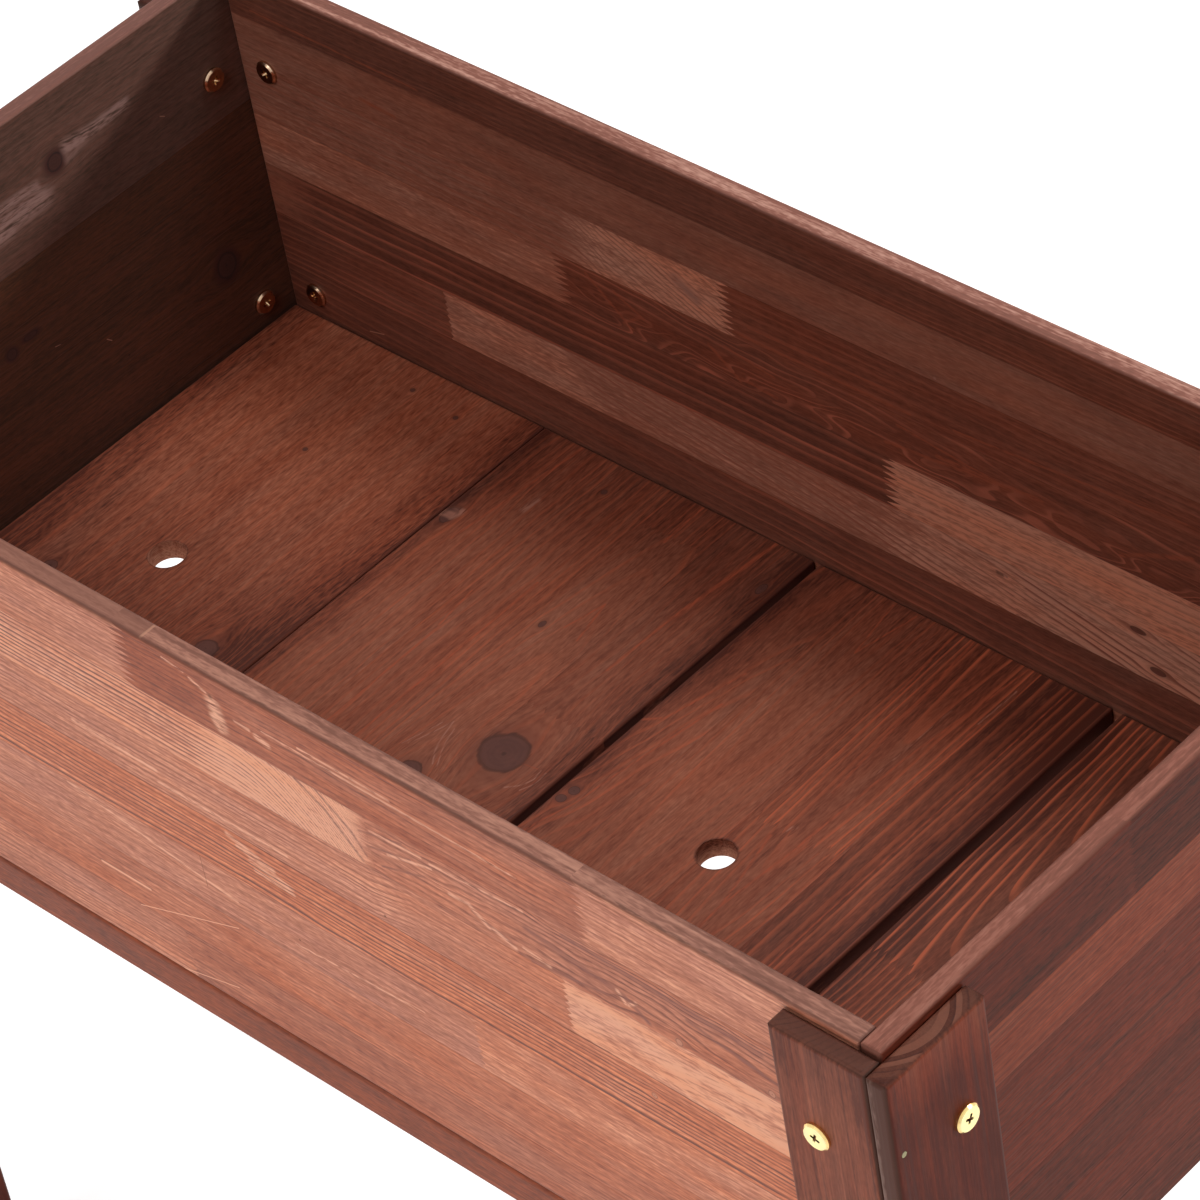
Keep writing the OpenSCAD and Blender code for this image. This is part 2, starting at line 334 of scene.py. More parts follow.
class Effect:
    """A node group that is made once and placed in each material with its own values.

    What it takes and gives is listed by kind of socket, with the names in one string.
    """

    title: ClassVar[str]
    takes: ClassVar[dict[str, str]]
    gives: ClassVar[dict[str, str]]

    def make(self, graph: Graph, given: SimpleNamespace) -> tuple[Signal, ...]:
        """Makes the group's inside.

        Args:
            graph: The group's own tree.
            given: What it takes, by name.

        Returns:
            What it gives, in order.
        """
        raise NotImplementedError

    def tree(self) -> bpy.types.NodeTree:
        """The group's tree, made at the first call.

        Returns:
            The tree.
        """
        made = bpy.data.node_groups.get(self.title)
        if made is not None:
            return made
        made = bpy.data.node_groups.new(self.title, "ShaderNodeTree")
        for way, sockets in (("INPUT", self.takes), ("OUTPUT", self.gives)):
            for kind, names in sockets.items():
                for name in names.split():
                    made.interface.new_socket(name, in_out=way, socket_type="NodeSocket" + kind)
        graph = Graph(made)
        start = made.nodes.new("NodeGroupInput")
        given = SimpleNamespace(**{name: Signal(graph, start.outputs[name]) for name in names_of(self.takes)})
        end = made.nodes.new("NodeGroupOutput")
        graph.fill(end, dict(zip(names_of(self.gives), self.make(graph, given))))
        return made

    def place(self, graph: Graph, **values: object) -> tuple[Signal, ...]:
        """Places the group in a material.

        Args:
            graph: The material's tree.
            values: What the group takes, by name.

        Returns:
            What it gives, in order.
        """
        node = graph.add("Group")
        node.node_tree = self.tree()
        graph.fill(node, values)
        return tuple(Signal(graph, node.outputs[name]) for name in names_of(self.gives))


class Arrises(Effect):
    """How far a point of a board is from the nearest arris, and a mask of the board's ends."""

    title = "arrises"
    takes = {"Vector": "point centre half"}
    gives = {"Float": "arris end"}

    def make(self, graph: Graph, given: SimpleNamespace) -> tuple[Signal, ...]:
        """The arris distance is the middle one of the distances to the three pairs of faces.

        Args:
            graph: The group's own tree.
            given: What it takes, by name.

        Returns:
            The distance to the nearest arris and the mask of the ends.
        """
        offset = graph.vector("SUBTRACT", given.point, given.centre)
        inward = graph.vector("SUBTRACT", given.half, graph.vector("ABSOLUTE", offset))
        along, across, deep = graph.split(inward)
        larger = graph.most(along, across)
        smaller = graph.least(along, across)
        return graph.most(smaller, graph.least(larger, deep)), graph.rise(along, 0.9, 0.3)


class Fibres(Effect):
    """Streaks of the wood at four widths, all running with the grain."""

    title = "fibres"
    takes = {"Vector": "point seed"}
    gives = {"Float": "fine streak cloud patch"}

    def make(self, graph: Graph, given: SimpleNamespace) -> tuple[Signal, ...]:
        """Four noises, each longer along the grain than across it.

        Args:
            graph: The group's own tree.
            given: What it takes, by name.

        Returns:
            The four noises, from the finest to the broadest.
        """
        elsewhere = graph.vector("ADD", given.seed, (5.0, 5.0, 5.0))
        fine = graph.noise(given.point, (6.0, 1.1, 1.2), 1.0, given.seed)
        streak = graph.noise(given.point, (160.0, 2.2, 2.6), 2.0, given.seed)
        cloud = graph.noise(given.point, (44.0, 14.0, 20.0), 2.0, given.seed)
        patch = graph.noise(given.point, (90.0, 14.0, 18.0), 2.0, elsewhere)
        return fine, streak, cloud, patch


class GrowthRings(Effect):
    """Growth rings cut by the board: cones round the pith, with a sharp end to the late wood."""

    title = "growth rings"
    takes = {"Vector": "point pith run bend", "Float": "seed sharpness"}
    gives = {"Float": "late ring"}
    slow_sway = (110.0, 26.0, 60.0)
    quick_sway = (30.0, 9.0, 30.0)
    quick_share = 0.22
    width_change = 0.55
    late_start = (0.45, 0.84)
    late_stop = (1.0, 0.92)

    def make(self, graph: Graph, given: SimpleNamespace) -> tuple[Signal, ...]:
        """The radius is the distance from a leaning pith line, and its fraction of a ring gives the wood.

        Args:
            graph: The group's own tree.
            given: What it takes, by name.

        Returns:
            The late wood and the random number of the ring.
        """
        along, across, deep = graph.split(given.point)
        pith_across, pith_deep, width = graph.split(given.pith)
        taper, drift, wander = graph.split(given.run)
        bend_start, curve, _ = graph.split(given.bend)
        past_bend = graph.most(along - bend_start, 0.0)
        shift = graph.join(given.seed, given.seed, 0.0)
        slow = graph.noise(given.point, self.slow_sway, 1.0, shift)
        quick = graph.noise(given.point, self.quick_sway, 0.0, shift)
        sway = (slow + quick * self.quick_share) * wander
        side = across - pith_across - drift * along + sway + past_bend * past_bend * curve
        depth = deep - pith_deep - taper * along + sway * 0.5
        reach = graph.math("SQRT", side * side + depth * depth)
        flat = 1.0 - abs(side) / reach
        radius = reach / width
        uneven = graph.noise(graph.join(radius, given.seed, 0.0), (2.7, 1.0, 1.0), 0.0)
        count = radius + uneven * self.width_change
        phase = graph.math("FRACT", count)
        ring = graph.chance(graph.math("FLOOR", count) + given.seed)
        late = graph.rise(phase, *self.late_start) * graph.rise(phase, *self.late_stop)
        late = graph.math("POWER", late, flat * flat * 5.0 + given.sharpness)
        late = late * (1.0 - graph.rise(flat, 0.5, 0.95) * 0.65)
        return late * (ring * 0.65 + 0.45), ring - 0.5


class Staves(Effect):
    """Which stave of a glued-up wall a point lies on, and how far it is from a glue line."""

    title = "staves"
    takes = {"Float": "across first module pitch"}
    gives = {"Float": "index glue tooth"}

    def make(self, graph: Graph, given: SimpleNamespace) -> tuple[Signal, ...]:
        """The index counts down from the top stave, and the tooth is a triangle wave across the grain.

        Args:
            graph: The group's own tree.
            given: What it takes, by name.

        Returns:
            The stave, the distance to a glue line and the tooth.
        """
        steps = (given.first - given.across) / given.module
        index = graph.most(graph.math("FLOOR", steps) + 1.0, 0.0)
        inside = graph.math("FRACT", steps)
        glue = graph.least(inside, 1.0 - inside) * given.module
        tooth = abs(graph.math("FRACT", given.across / given.pitch) - 0.5) * 2.0 - 0.5
        return index, glue, tooth


class Length(Effect):
    """Starts a new length of wood in a stave, from a finger joint or a soft change onwards."""

    title = "length of wood"
    takes = {
        "Float": "along across tooth index stave start fingers soft lean seed line new_seed",
        "Vector": "look pith run bend new_look new_pith new_run new_bend",
    }
    gives = {"Vector": "look pith run bend", "Float": "seed line"}

    def make(self, graph: Graph, given: SimpleNamespace) -> tuple[Signal, ...]:
        """Past its start the new values replace the old, over a width of twice the softness.

        Args:
            graph: The group's own tree.
            given: What it takes, by name.

        Returns:
            The wood's values, old or new, and the mask of the joints.
        """
        here = graph.math("LESS_THAN", abs(given.index - given.stave), 0.5)
        beyond = given.along + given.tooth * given.fingers + given.across * given.lean - given.start
        share = graph.least(graph.most(beyond / given.soft * 0.5 + 0.5, 0.0), 1.0)
        past = share * here
        joint = graph.rise(abs(beyond), 0.8, 0.2) * here * graph.math("LESS_THAN", given.soft, 1.0)
        values = vars(given)
        names = self.gives["Vector"].split()
        vectors = [graph.mix(past, values[name], values["new_" + name], "VECTOR") for name in names]
        seed = graph.mix(graph.math("GREATER_THAN", past, 0.5), given.seed, given.new_seed)
        return *vectors, seed, graph.most(given.line, joint)


class Knot(Effect):
    """Adds one knot: its distance in radii, and how it pushes the grain aside."""

    title = "knot"
    takes = {"Vector": "point at size", "Float": "near push"}
    gives = {"Float": "near push"}

    def make(self, graph: Graph, given: SimpleNamespace) -> tuple[Signal, ...]:
        """The push falls off as a bell that is longer with the grain than across it.

        Args:
            graph: The group's own tree.
            given: What it takes, by name.

        Returns:
            The distance from the nearest knot, in radii, and the push.
        """
        away = graph.vector("SUBTRACT", given.point, given.at)
        along, across, _ = graph.split(graph.vector("DIVIDE", away, given.size))
        distance = graph.math("SQRT", along * along + across * across)
        bell = along * along * 0.11 + across * across * 0.28
        weight = graph.math("EXPONENT", bell * -1.0)
        _, offset, _ = graph.split(away)
        return graph.least(given.near, distance), given.push + offset * weight


class Mark(Effect):
    """Adds one scratch, crack or speck: a mask round the line between two points."""

    title = "mark"
    takes = {"Vector": "point start run", "Float": "mask width"}
    gives = {"Float": "mask"}

    def make(self, graph: Graph, given: SimpleNamespace) -> tuple[Signal, ...]:
        """The nearest point of the line is the dot product over the line's squared length.

        Args:
            graph: The group's own tree.
            given: What it takes, by name.

        Returns:
            The mask with this mark in it.
        """
        away = graph.vector("SUBTRACT", given.point, given.start)
        away = graph.vector("MULTIPLY", away, (1.0, 1.0, 0.0))
        length = graph.vector("DOT_PRODUCT", given.run, given.run)
        share = graph.vector("DOT_PRODUCT", away, given.run) / length
        held = graph.least(graph.most(share, 0.0), 1.0)
        nearest = graph.vector("MULTIPLY", given.run, graph.join(held, held, held))
        distance = graph.vector("DISTANCE", away, nearest) / given.width
        return (graph.most(given.mask, graph.rise(distance, 1.0, 0.1)),)


class Grain(Enum):
    """Which axes run along the grain, across it and through the board."""

    LONG_WALL = (0, 2, 1)
    END_WALL = (1, 2, 0)
    FLOOR = (1, 0, 2)
    LEG_FACE = (2, 0, 1)
    LEG_END = (2, 1, 0)

    def point(self, graph: Graph) -> Signal:
        """The point in millimetres, as along, across and through."""
        parts = graph.split(graph.millimetres())
        return graph.join(*(parts[axis] for axis in self.value))

    def span(self, node: str) -> tuple[Colour, Colour]:
        """A board's middle and half sizes.

        Args:
            node: The board's name.

        Returns:
            The middle and the half size, each as along, across and through, in millimetres.
        """
        low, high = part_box(node)
        middle = tuple((low[axis] + high[axis]) / 2 / MM for axis in self.value)
        half = tuple((high[axis] - low[axis]) / 2 / MM for axis in self.value)
        return middle, half


class Band(Enum):
    """Where a mask starts and where it is full, in millimetres, or in radii for the parts of a knot."""

    GLUE = (0.75, 0.2)
    ARRIS = (2.0, 0.4)
    NARROW_SIDE = (1.4, 0.6)
    DARK_SIDE = (1.1, 0.5)
    UPPER_EDGE = (0.7, 0.1)
    UPPER_EDGE_WORN = (3.0, 1.6)
    UPPER_EDGE_PALE = (1.6, 0.7)
    UPPER_EDGE_JOINT = (1.2, 0.4)
    SHOWN_FACE = (1.0, 3.0)
    FAR_FACE = (-1.0, -3.0)
    FAR_END = (95.0, 200.0)
    HOLE_WALL = (11.25, 11.05)
    HOLE_LIP = (12.4, 11.2)
    HOLE_BARE = (4.5, -3.5)
    KNOT_HALO = (2.1, 0.9)
    KNOT_CORE = (1.1, 0.85)
    KNOT_RIM = (0.14, 0.02)
    KNOT_HEART = (0.14, 0.05)

    def mask(self, graph: Graph, distance: Term) -> Signal:
        """The mask at a distance."""
        return graph.rise(distance, *self.value)


@dataclass(frozen=True)
class Cover:
    """How fully each kind of mark covers what lies under it, from 0 to 1."""

    joint: float = 0.12
    glue: float = 0.20
    knot: float = 0.85
    knot_rim: float = 0.60
    arris: float = 0.70
    upper_edge_worn: float = 0.75
    upper_edge_pale: float = 0.50
    upper_edge_joint: float = 0.60
    scratch: float = 0.75
    pit: float = 0.70
    end: float = 0.80
    hole_lip: float = 0.55


COVER = Cover()
SEAM_SHADE: Colour = (0.35, 0.28, 0.26)
NO_KNOT = 9.0
KNOT_DEPTH = 1000.0
SEED_STEP = 5.7
SHORTEST = 0.001
END = -500.0
SHARED_SCALE: tuple[Colour, ...] = (
    (0.110, 0.029, 0.017),
    (0.270, 0.081, 0.046),
    (0.420, 0.144, 0.083),
    (0.580, 0.226, 0.135),
    (0.740, 0.318, 0.192),
)


@dataclass(frozen=True)
class Rim:
    """The colours of a wall's upper edge: its own, its pale streaks and its dark ones."""

    colour: Colour
    pale: Colour
    dark: Colour


@dataclass(frozen=True)
class Stain:
    """A stained wood finish: its colours, and how much each kind of figure changes them."""

    late: Colour
    late_on_pale: Colour
    late_share: float
    late_depth: float
    arris: Colour
    rim: Optional[Rim] = None
    cloud: float = 0.16
    streak: float = 0.20
    fine: float = 0.36
    sheen: float = 0.0
    patch: float = 0.95
    knot: Colour = (0.190, 0.080, 0.066)
    knot_ring: Colour = (0.270, 0.105, 0.080)
    halo: Colour = (0.190, 0.062, 0.042)
    halo_share: float = 0.35
    pith: Colour = (0.060, 0.022, 0.016)
    vein: Colour = (0.170, 0.036, 0.020)
    raw: Colour = (0.68, 0.34, 0.22)
    pale: Colour = (0.70, 0.32, 0.20)
    end: Colour = (0.170, 0.064, 0.044)
    end_rings: float = 0.0
    roughness: float = 0.52
    gloss: float = 0.22
    relief: float = 0.25
    sharpness: float = 1.0
    side_share: float = 0.0
    scale: tuple[Colour, ...] = SHARED_SCALE
    warm: Colour = (1.0, 0.80, 0.70)
    cool: Colour = (0.85, 1.05, 1.20)


@dataclass(frozen=True)
class Wood:
    """One length of wood: where it starts, how it looks and how its rings lie."""

    stave: int
    start: float
    tone: float = 0.5
    hue: float = 0.0
    lines: float = 0.5
    pith: float = -60.0
    deep: float = 30.0
    ring: float = 3.0
    taper: float = 0.0
    drift: float = 0.0
    wander: float = 2.0
    fingers: float = 10.0
    soft: float = 0.15
    lean: float = 0.0
    bend: Place = (0.0, 0.0)

    @property
    def jointed(self) -> bool:
        """Whether it starts at a joint, and not as a soft change within one length."""
        return self.soft < 1.0

    def then(self, *changes: tuple[float, float, float, float, float]) -> tuple["Wood", ...]:
        """Carries the same wood on through soft changes.

        Args:
            changes: The start, tone, hue, lines and softness of each.

        Returns:
            The wood itself and each change.
        """
        names = ("start", "tone", "hue", "lines", "soft")
        return self, *(replace(self, **dict(zip(names, change))) for change in changes)


@dataclass(frozen=True)
class Spot:
    """A knot: its place along and across the grain, its radius and how much longer it is."""

    along: float
    across: float
    radius: float
    stretch: float = 1.0


@dataclass(frozen=True)
class Nick:
    """A scratch, crack or speck, from one place to another on one side of the board."""

    start: Place
    run: Place
    width: float = 0.6


@dataclass(frozen=True)
class Glueing:
    """How a board is glued up from staves, with finger joints of one pitch."""

    first: float
    module: float
    pitch: float = 4.2


class Skin:
    """A board's surface: what is known at each point of it before any colour is laid on."""

    def __init__(self, graph: Graph, board: "Board") -> None:
        """Finds the knots, the staves, the lengths of wood, the rings and the fibres.

        Args:
            graph: The material's tree.
            board: The board.
        """
        self.graph = graph
        self.point = board.grain.point(graph)
        self.middle, self.half = board.grain.span(board.node)
        self.along, self.across, self.deep = graph.split(self.point)
        self.arris, self.end = Arrises().place(graph, point=self.point, centre=self.middle, half=self.half)
        self.inward = self.half[1] - abs(self.across - self.middle[1])
        self.side = Band.NARROW_SIDE.mask(graph, self.inward)
        self.matt: Term = self.side if board.matt_sides else 0.0

        self.near: Term = NO_KNOT
        push: Term = 0.0
        for spot in board.knots:
            at = (spot.along, spot.across, 0.0)
            size = (spot.radius * spot.stretch, spot.radius, KNOT_DEPTH)
            state = {"near": self.near, "push": push}
            self.near, push = Knot().place(graph, point=self.point, at=at, size=size, **state)
        self.bent = graph.vector("SUBTRACT", self.point, graph.join(0.0, push, 0.0))

        index: Term = 0.0
        tooth: Term = 0.0
        self.glue: Term = 0.0
        if board.glueing is not None:
            index, glue, tooth = Staves().place(graph, across=self.across, **vars(board.glueing))
            self.glue = Band.GLUE.mask(graph, glue)
        wood = board.lengths(self, tooth, index)
        self.tone, self.hue, self.lines = graph.split(wood["look"])
        self.joint = wood["line"]
        forward = (self.deep - self.middle[2]) * board.shown_side
        self.shown = Band.SHOWN_FACE.mask(graph, forward)
        # Painted shade: the shown face is kept darker than the far face. The far face is lifted by this tone
        # and loses the hue, so the shade and sheen painted on the shown face stay off it.
        if board.far_side_tone > 0.0:
            behind = Band.FAR_FACE.mask(graph, forward)
            self.tone = self.tone + behind * board.far_side_tone
            self.hue = self.hue * (1.0 - behind)

        cut = {name: wood[name] for name in ("pith", "run", "bend", "seed")}
        cut["sharpness"] = board.stain.sharpness
        self.late, self.ring = GrowthRings().place(graph, point=self.bent, **cut)
        shift = graph.join(0.0, wood["seed"], wood["seed"])
        self.fine, self.streak, self.cloud, self.patch = Fibres().place(graph, point=self.bent, seed=shift)
        self.lined = self.late * self.lines * (1.0 + self.cloud * 0.8)
        self.pits = board.marks(graph, self.point, board.pits) * self.shown


@dataclass(frozen=True)
class Board:
    """A board of the box, and all that its surface shows."""

    node: str
    grain: Grain
    stain: Stain
    woods: tuple[Wood, ...]
    glueing: Optional[Glueing] = None
    knots: tuple[Spot, ...] = ()
    scratches: tuple[Nick, ...] = ()
    pits: tuple[Nick, ...] = ()
    veins: tuple[Nick, ...] = ()
    pales: tuple[Nick, ...] = ()
    rim_joint: Optional[float] = None
    shown_side: float = 0.0
    shaded_edges: float = 0.0
    edge_width: float = 22.0
    dark_sides: float = 0.5
    matt_sides: bool = False
    far_shade: float = 0.0
    far_side_tone: float = 0.0
    hole: Optional[Place] = None
    bare_wood: float = 0.0
    seed: float = 0.0

    def middle_of(self, stave: int, skin: Skin) -> float:
        """Where the middle of a stave lies across the board, in millimetres.

        Args:
            stave: The stave, counted from the top.
            skin: The board's surface.

        Returns:
            The place across the grain.
        """
        if self.glueing is None:
            return skin.middle[1]
        return self.glueing.first - (stave - 0.5) * self.glueing.module

    def lengths(self, skin: Skin, tooth: Term, index: Term) -> dict[str, object]:
        """Runs through the lengths of wood from the top stave down.

        Args:
            skin: The board's surface.
            tooth: The triangle wave of the finger joints.
            index: The stave.

        Returns:
            The look, the pith, its run and bend, the seed and the mask of the joints, by name.
        """
        state = {"look": (0.5, 0.0, 0.5), "pith": (0.0, 30.0, 2.5), "run": (0.0, 0.0, 2.0)}
        state.update(bend=(0.0, 0.0, 0.0), seed=self.seed, line=0.0)
        fixed = {"along": skin.along, "across": skin.across, "tooth": tooth, "index": index}
        seed = self.seed
        for number, wood in enumerate(self.woods):
            middle = self.middle_of(wood.stave, skin)
            if wood.jointed:
                seed = self.seed + number * SEED_STEP
            new = {
                "new_look": (wood.tone, wood.hue, wood.lines),
                "new_pith": (middle + wood.pith, skin.middle[2] + wood.deep, wood.ring),
                "new_run": (wood.taper, wood.drift, wood.wander),
                "new_bend": (*wood.bend, 0.0),
                "new_seed": seed,
                "start": wood.start + middle * wood.lean,
                "fingers": wood.fingers if wood.jointed else 0.0,
            }
            new.update(stave=wood.stave, soft=wood.soft, lean=wood.lean)
            state = dict(zip(names_of(Length.gives), Length().place(skin.graph, **fixed, **state, **new)))
        return state

    def marks(self, graph: Graph, point: Signal, nicks: tuple[Nick, ...]) -> Term:
        """The mask of all nicks of one kind.

        Args:
            graph: The material's tree.
            point: The point of the surface.
            nicks: The nicks.

        Returns:
            The mask.
        """
        mask: Term = 0.0
        for nick in nicks:
            run = (nick.run[0] + SHORTEST, nick.run[1], 0.0)
            start = (*nick.start, 0.0)
            (mask,) = Mark().place(graph, point=point, mask=mask, start=start, run=run, width=nick.width)
        return mask

    def figure(self, skin: Skin) -> Signal:
        """The stained wood itself: its tone, its rings, its seams and its veins, with painted shade on its
        edges, its narrow sides and its far end.

        Args:
            skin: The board's surface.

        Returns:
            The colour.
        """
        graph, stain = skin.graph, self.stain
        uneven = skin.cloud * stain.cloud + skin.streak * stain.streak + skin.fine * stain.fine
        level = skin.tone + uneven * (skin.tone + 0.4) + skin.ring * skin.lines * 0.10
        level = level - (skin.lined - skin.lines * 0.27) * stain.late_depth
        # Painted shade: the long edges darken over edge_width, partly for stain gathered at the edges and
        # partly for the shade of the gaps and grooves between boards and of the walls beside them; the narrow
        # sides darken further with painted shade.
        if self.shaded_edges > 0.0:
            inward = skin.inward + skin.cloud * 6.0
            level = level - graph.rise(inward, self.edge_width, 0.0) * self.shaded_edges
            level = level - Band.DARK_SIDE.mask(graph, inward) * self.dark_sides
        # Painted shade: the far end, by the back wall, is darkened as the wall's shadow would darken it.
        if self.far_shade > 0.0:
            level = level - Band.FAR_END.mask(graph, skin.along + skin.cloud * 20.0) * self.far_shade
        colour = graph.scale_of(level, stain.scale)
        shade = skin.hue + skin.patch * stain.patch
        colour = graph.tint(shade, colour, stain.warm, "MULTIPLY")
        colour = graph.tint(shade * -1.0, colour, stain.cool, "MULTIPLY")
        late_colour = graph.tint(skin.tone, stain.late, stain.late_on_pale)
        colour = graph.tint(skin.lined * stain.late_share, colour, late_colour)
        seams = graph.most(skin.joint * COVER.joint, skin.glue * COVER.glue)
        colour = graph.tint(seams, colour, SEAM_SHADE, "MULTIPLY")
        veins = self.marks(graph, skin.bent, self.veins) * (skin.fine * 0.8 + 0.65)
        return graph.tint(veins, colour, stain.vein)

    def knotted(self, skin: Skin, colour: Signal) -> Signal:
        """The colour with the knots: a halo, a ringed core, a dark rim and a dark middle.

        Args:
            skin: The board's surface.
            colour: The colour under the knots.

        Returns:
            The colour.
        """
        if not self.knots:
            return colour
        graph, stain = skin.graph, self.stain
        radii = skin.near + skin.late * 0.05 + skin.cloud * 0.30 + skin.fine * 0.10
        halo = Band.KNOT_HALO.mask(graph, radii) * (skin.fine * 0.4 + stain.halo_share)
        colour = graph.tint(halo, colour, stain.halo)
        circles = graph.math("SINE", radii * 26.0 + skin.cloud * 4.0)
        inside = graph.tint(circles * 0.15 + skin.fine * 0.6 + 0.3, stain.knot, stain.knot_ring)
        colour = graph.tint(Band.KNOT_CORE.mask(graph, radii) * COVER.knot, colour, inside)
        for band, distance in ((Band.KNOT_RIM, abs(radii - 1.0)), (Band.KNOT_HEART, radii)):
            colour = graph.tint(band.mask(graph, distance) * COVER.knot_rim, colour, stain.pith)
        return colour

    def upper_edge(self, skin: Skin, rim: Rim) -> Signal:
        """The colour of a wall's upper edge, with its grain streaks, its joint, its worn outer arris and a
        painted highlight along its inner arris.

        Args:
            skin: The board's surface.
            rim: The edge's colours.

        Returns:
            The colour.
        """
        graph = skin.graph
        share = skin.streak * 1.3 + skin.fine * 0.9 + skin.patch * 0.6
        colour = graph.tint(share + 0.1, rim.colour, rim.pale)
        colour = graph.tint(share * -1.0 + 0.15, colour, rim.dark)
        outward = (skin.deep - skin.middle[2]) * math.copysign(1.0, skin.middle[2])
        # Painted highlight: a pale band along the inner arris, in patches.
        pale = Band.UPPER_EDGE_PALE.mask(graph, outward + skin.half[2]) * graph.rise(skin.patch, 0.0, 0.7)
        colour = graph.tint(pale * COVER.upper_edge_pale, colour, self.stain.pale)
        worn = Band.UPPER_EDGE_WORN.mask(graph, skin.half[2] - outward)
        worn = worn * graph.rise(skin.cloud + skin.fine, -0.2, 0.5)
        colour = graph.tint(worn * COVER.upper_edge_worn, colour, self.stain.arris)
        if self.rim_joint is not None:
            beside = graph.math("LESS_THAN", skin.along, self.rim_joint)
            colour = graph.tint(beside * COVER.upper_edge_joint, colour, rim.dark)
            joint = Band.UPPER_EDGE_JOINT.mask(graph, abs(skin.along - self.rim_joint))
            colour = graph.tint(joint * COVER.upper_edge_joint, colour, self.stain.pale)
        return colour

    def edged(self, skin: Skin, colour: Signal) -> Signal:
        """The colour with the upper edge, the worn arrises and the narrow sides.

        Args:
            skin: The board's surface.
            colour: The colour of the faces.

        Returns:
            The colour.
        """
        graph, stain = skin.graph, self.stain
        if stain.rim is not None:
            below = (skin.middle[1] + skin.half[1]) - (skin.across + skin.fine * 0.2)
            colour = graph.tint(Band.UPPER_EDGE.mask(graph, below), colour, self.upper_edge(skin, stain.rim))
        wear = Band.ARRIS.mask(graph, skin.arris + skin.streak * 0.6)
        colour = graph.tint(wear * COVER.arris, colour, stain.arris)
        return graph.tint(skin.side * stain.side_share, colour, stain.arris)

    def marked(self, skin: Skin, colour: Signal) -> Signal:
        """The colour with the pale marks and painted highlights, the scratches, the pits and the end grain.

        Args:
            skin: The board's surface.
            colour: The colour under the marks.

        Returns:
            The colour.
        """
        graph, stain = skin.graph, self.stain
        broken = graph.rise(skin.streak + skin.fine * 0.8, -0.65, 0.30) * (1.0 - skin.lined * 0.8)
        # Pale marks, and on some boards painted sheen and painted highlights.
        pales = self.marks(graph, skin.bent, self.pales) * broken
        colour = graph.tint(pales * skin.shown, colour, stain.pale)
        scratches = self.marks(graph, skin.point, self.scratches) * skin.shown
        colour = graph.tint(scratches * COVER.scratch, colour, stain.raw)
        colour = graph.tint(skin.pits * COVER.pit, colour, stain.pith)
        bands = skin.late * 0.25 + skin.fine * 0.3 + (skin.ring + 0.3) * stain.end_rings
        return graph.tint(skin.end * COVER.end, colour, graph.tint(bands, stain.end, stain.pith))

    def drilled(self, skin: Skin, colour: Signal) -> Signal:
        """The colour with the drain hole: its dark lip, and its wall with the turns of the drill.

        Args:
            skin: The board's surface, whose hole wall becomes matt.
            colour: The colour round the hole.

        Returns:
            The colour.
        """
        if self.hole is None:
            return colour
        graph, stain = skin.graph, self.stain
        flat = graph.vector("MULTIPLY", skin.point, (1.0, 1.0, 0.0))
        radius = graph.vector("DISTANCE", flat, (*self.hole, 0.0))
        lip = Band.HOLE_LIP.mask(graph, radius + skin.fine * 0.5)
        colour = graph.tint(lip * COVER.hole_lip, colour, stain.pith)
        turns = graph.math("SINE", skin.deep * 5.6 + skin.cloud * 3.0) * 0.22 + skin.fine * 0.9
        bare = Band.HOLE_BARE.mask(graph, skin.deep + skin.cloud * 2.5 - skin.middle[2]) + self.bare_wood
        dark_wall = graph.tint(turns + 0.5, stain.scale[0], stain.scale[2])
        pale_wall = graph.tint(turns + 0.55, stain.scale[2], stain.raw)
        wall = Band.HOLE_WALL.mask(graph, radius)
        skin.matt = graph.most(skin.matt, wall)
        return graph.tint(wall, colour, graph.tint(bare, dark_wall, pale_wall))

    def dress(self) -> None:
        """Makes the board's material and puts it in the board's slots."""
        material, graph, shader = new_material(self.node + "_stain")
        skin = Skin(graph, self)
        colour = self.figure(skin)
        for layer in (self.knotted, self.edged, self.marked, self.drilled):
            colour = layer(skin, colour)
        rough = self.stain.roughness + skin.streak * 0.05 - skin.lined * 0.10 + skin.pits * 0.2
        height = graph.noise(skin.point, (22.0, 0.9, 0.9), 1.0) * 0.35 - skin.glue
        values = {
            "Base Color": colour,
            "Roughness": graph.least(rough + skin.matt * 0.5, 1.0),
            "Specular IOR Level": self.stain.gloss,
            "Sheen Weight": self.stain.sheen,
            "Normal": graph.bump(self.stain.relief, 0.4, height),
        }
        graph.fill(shader, values)
        set_material(self.node, material)
        LOG.info("dressed %s with %d lengths of wood", self.node, len(self.woods))


def set_material(node: str, material: bpy.types.Material) -> None:
    """Puts one material in every slot of a CAD node.

    Args:
        node: The node's name.
        material: The material.
    """
    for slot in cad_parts[node].material_slots:
        slot.link = "DATA"
        slot.material = material


PALE_STAIN = Stain(
    cloud=0.22,
    streak=0.24,
    fine=0.31,
    scale=(*SHARED_SCALE[:4], (0.790, 0.365, 0.222)),
    warm=(1.0, 0.79, 0.62),
    cool=(0.930, 0.980, 1.120),
    vein=(0.250, 0.085, 0.060),
    knot=(0.480, 0.200, 0.120),
    knot_ring=(0.600, 0.260, 0.170),
    halo=(0.420, 0.160, 0.100),
    raw=(0.950, 0.500, 0.320),
    pale=(0.800, 0.400, 0.260),
    late=(0.240, 0.075, 0.046),
    late_on_pale=(0.260, 0.085, 0.052),
    late_share=0.20,
    late_depth=0.72,
    rim=Rim((0.500, 0.215, 0.150), (0.700, 0.330, 0.230), (0.300, 0.120, 0.082)),
    arris=(0.160, 0.062, 0.043),
)

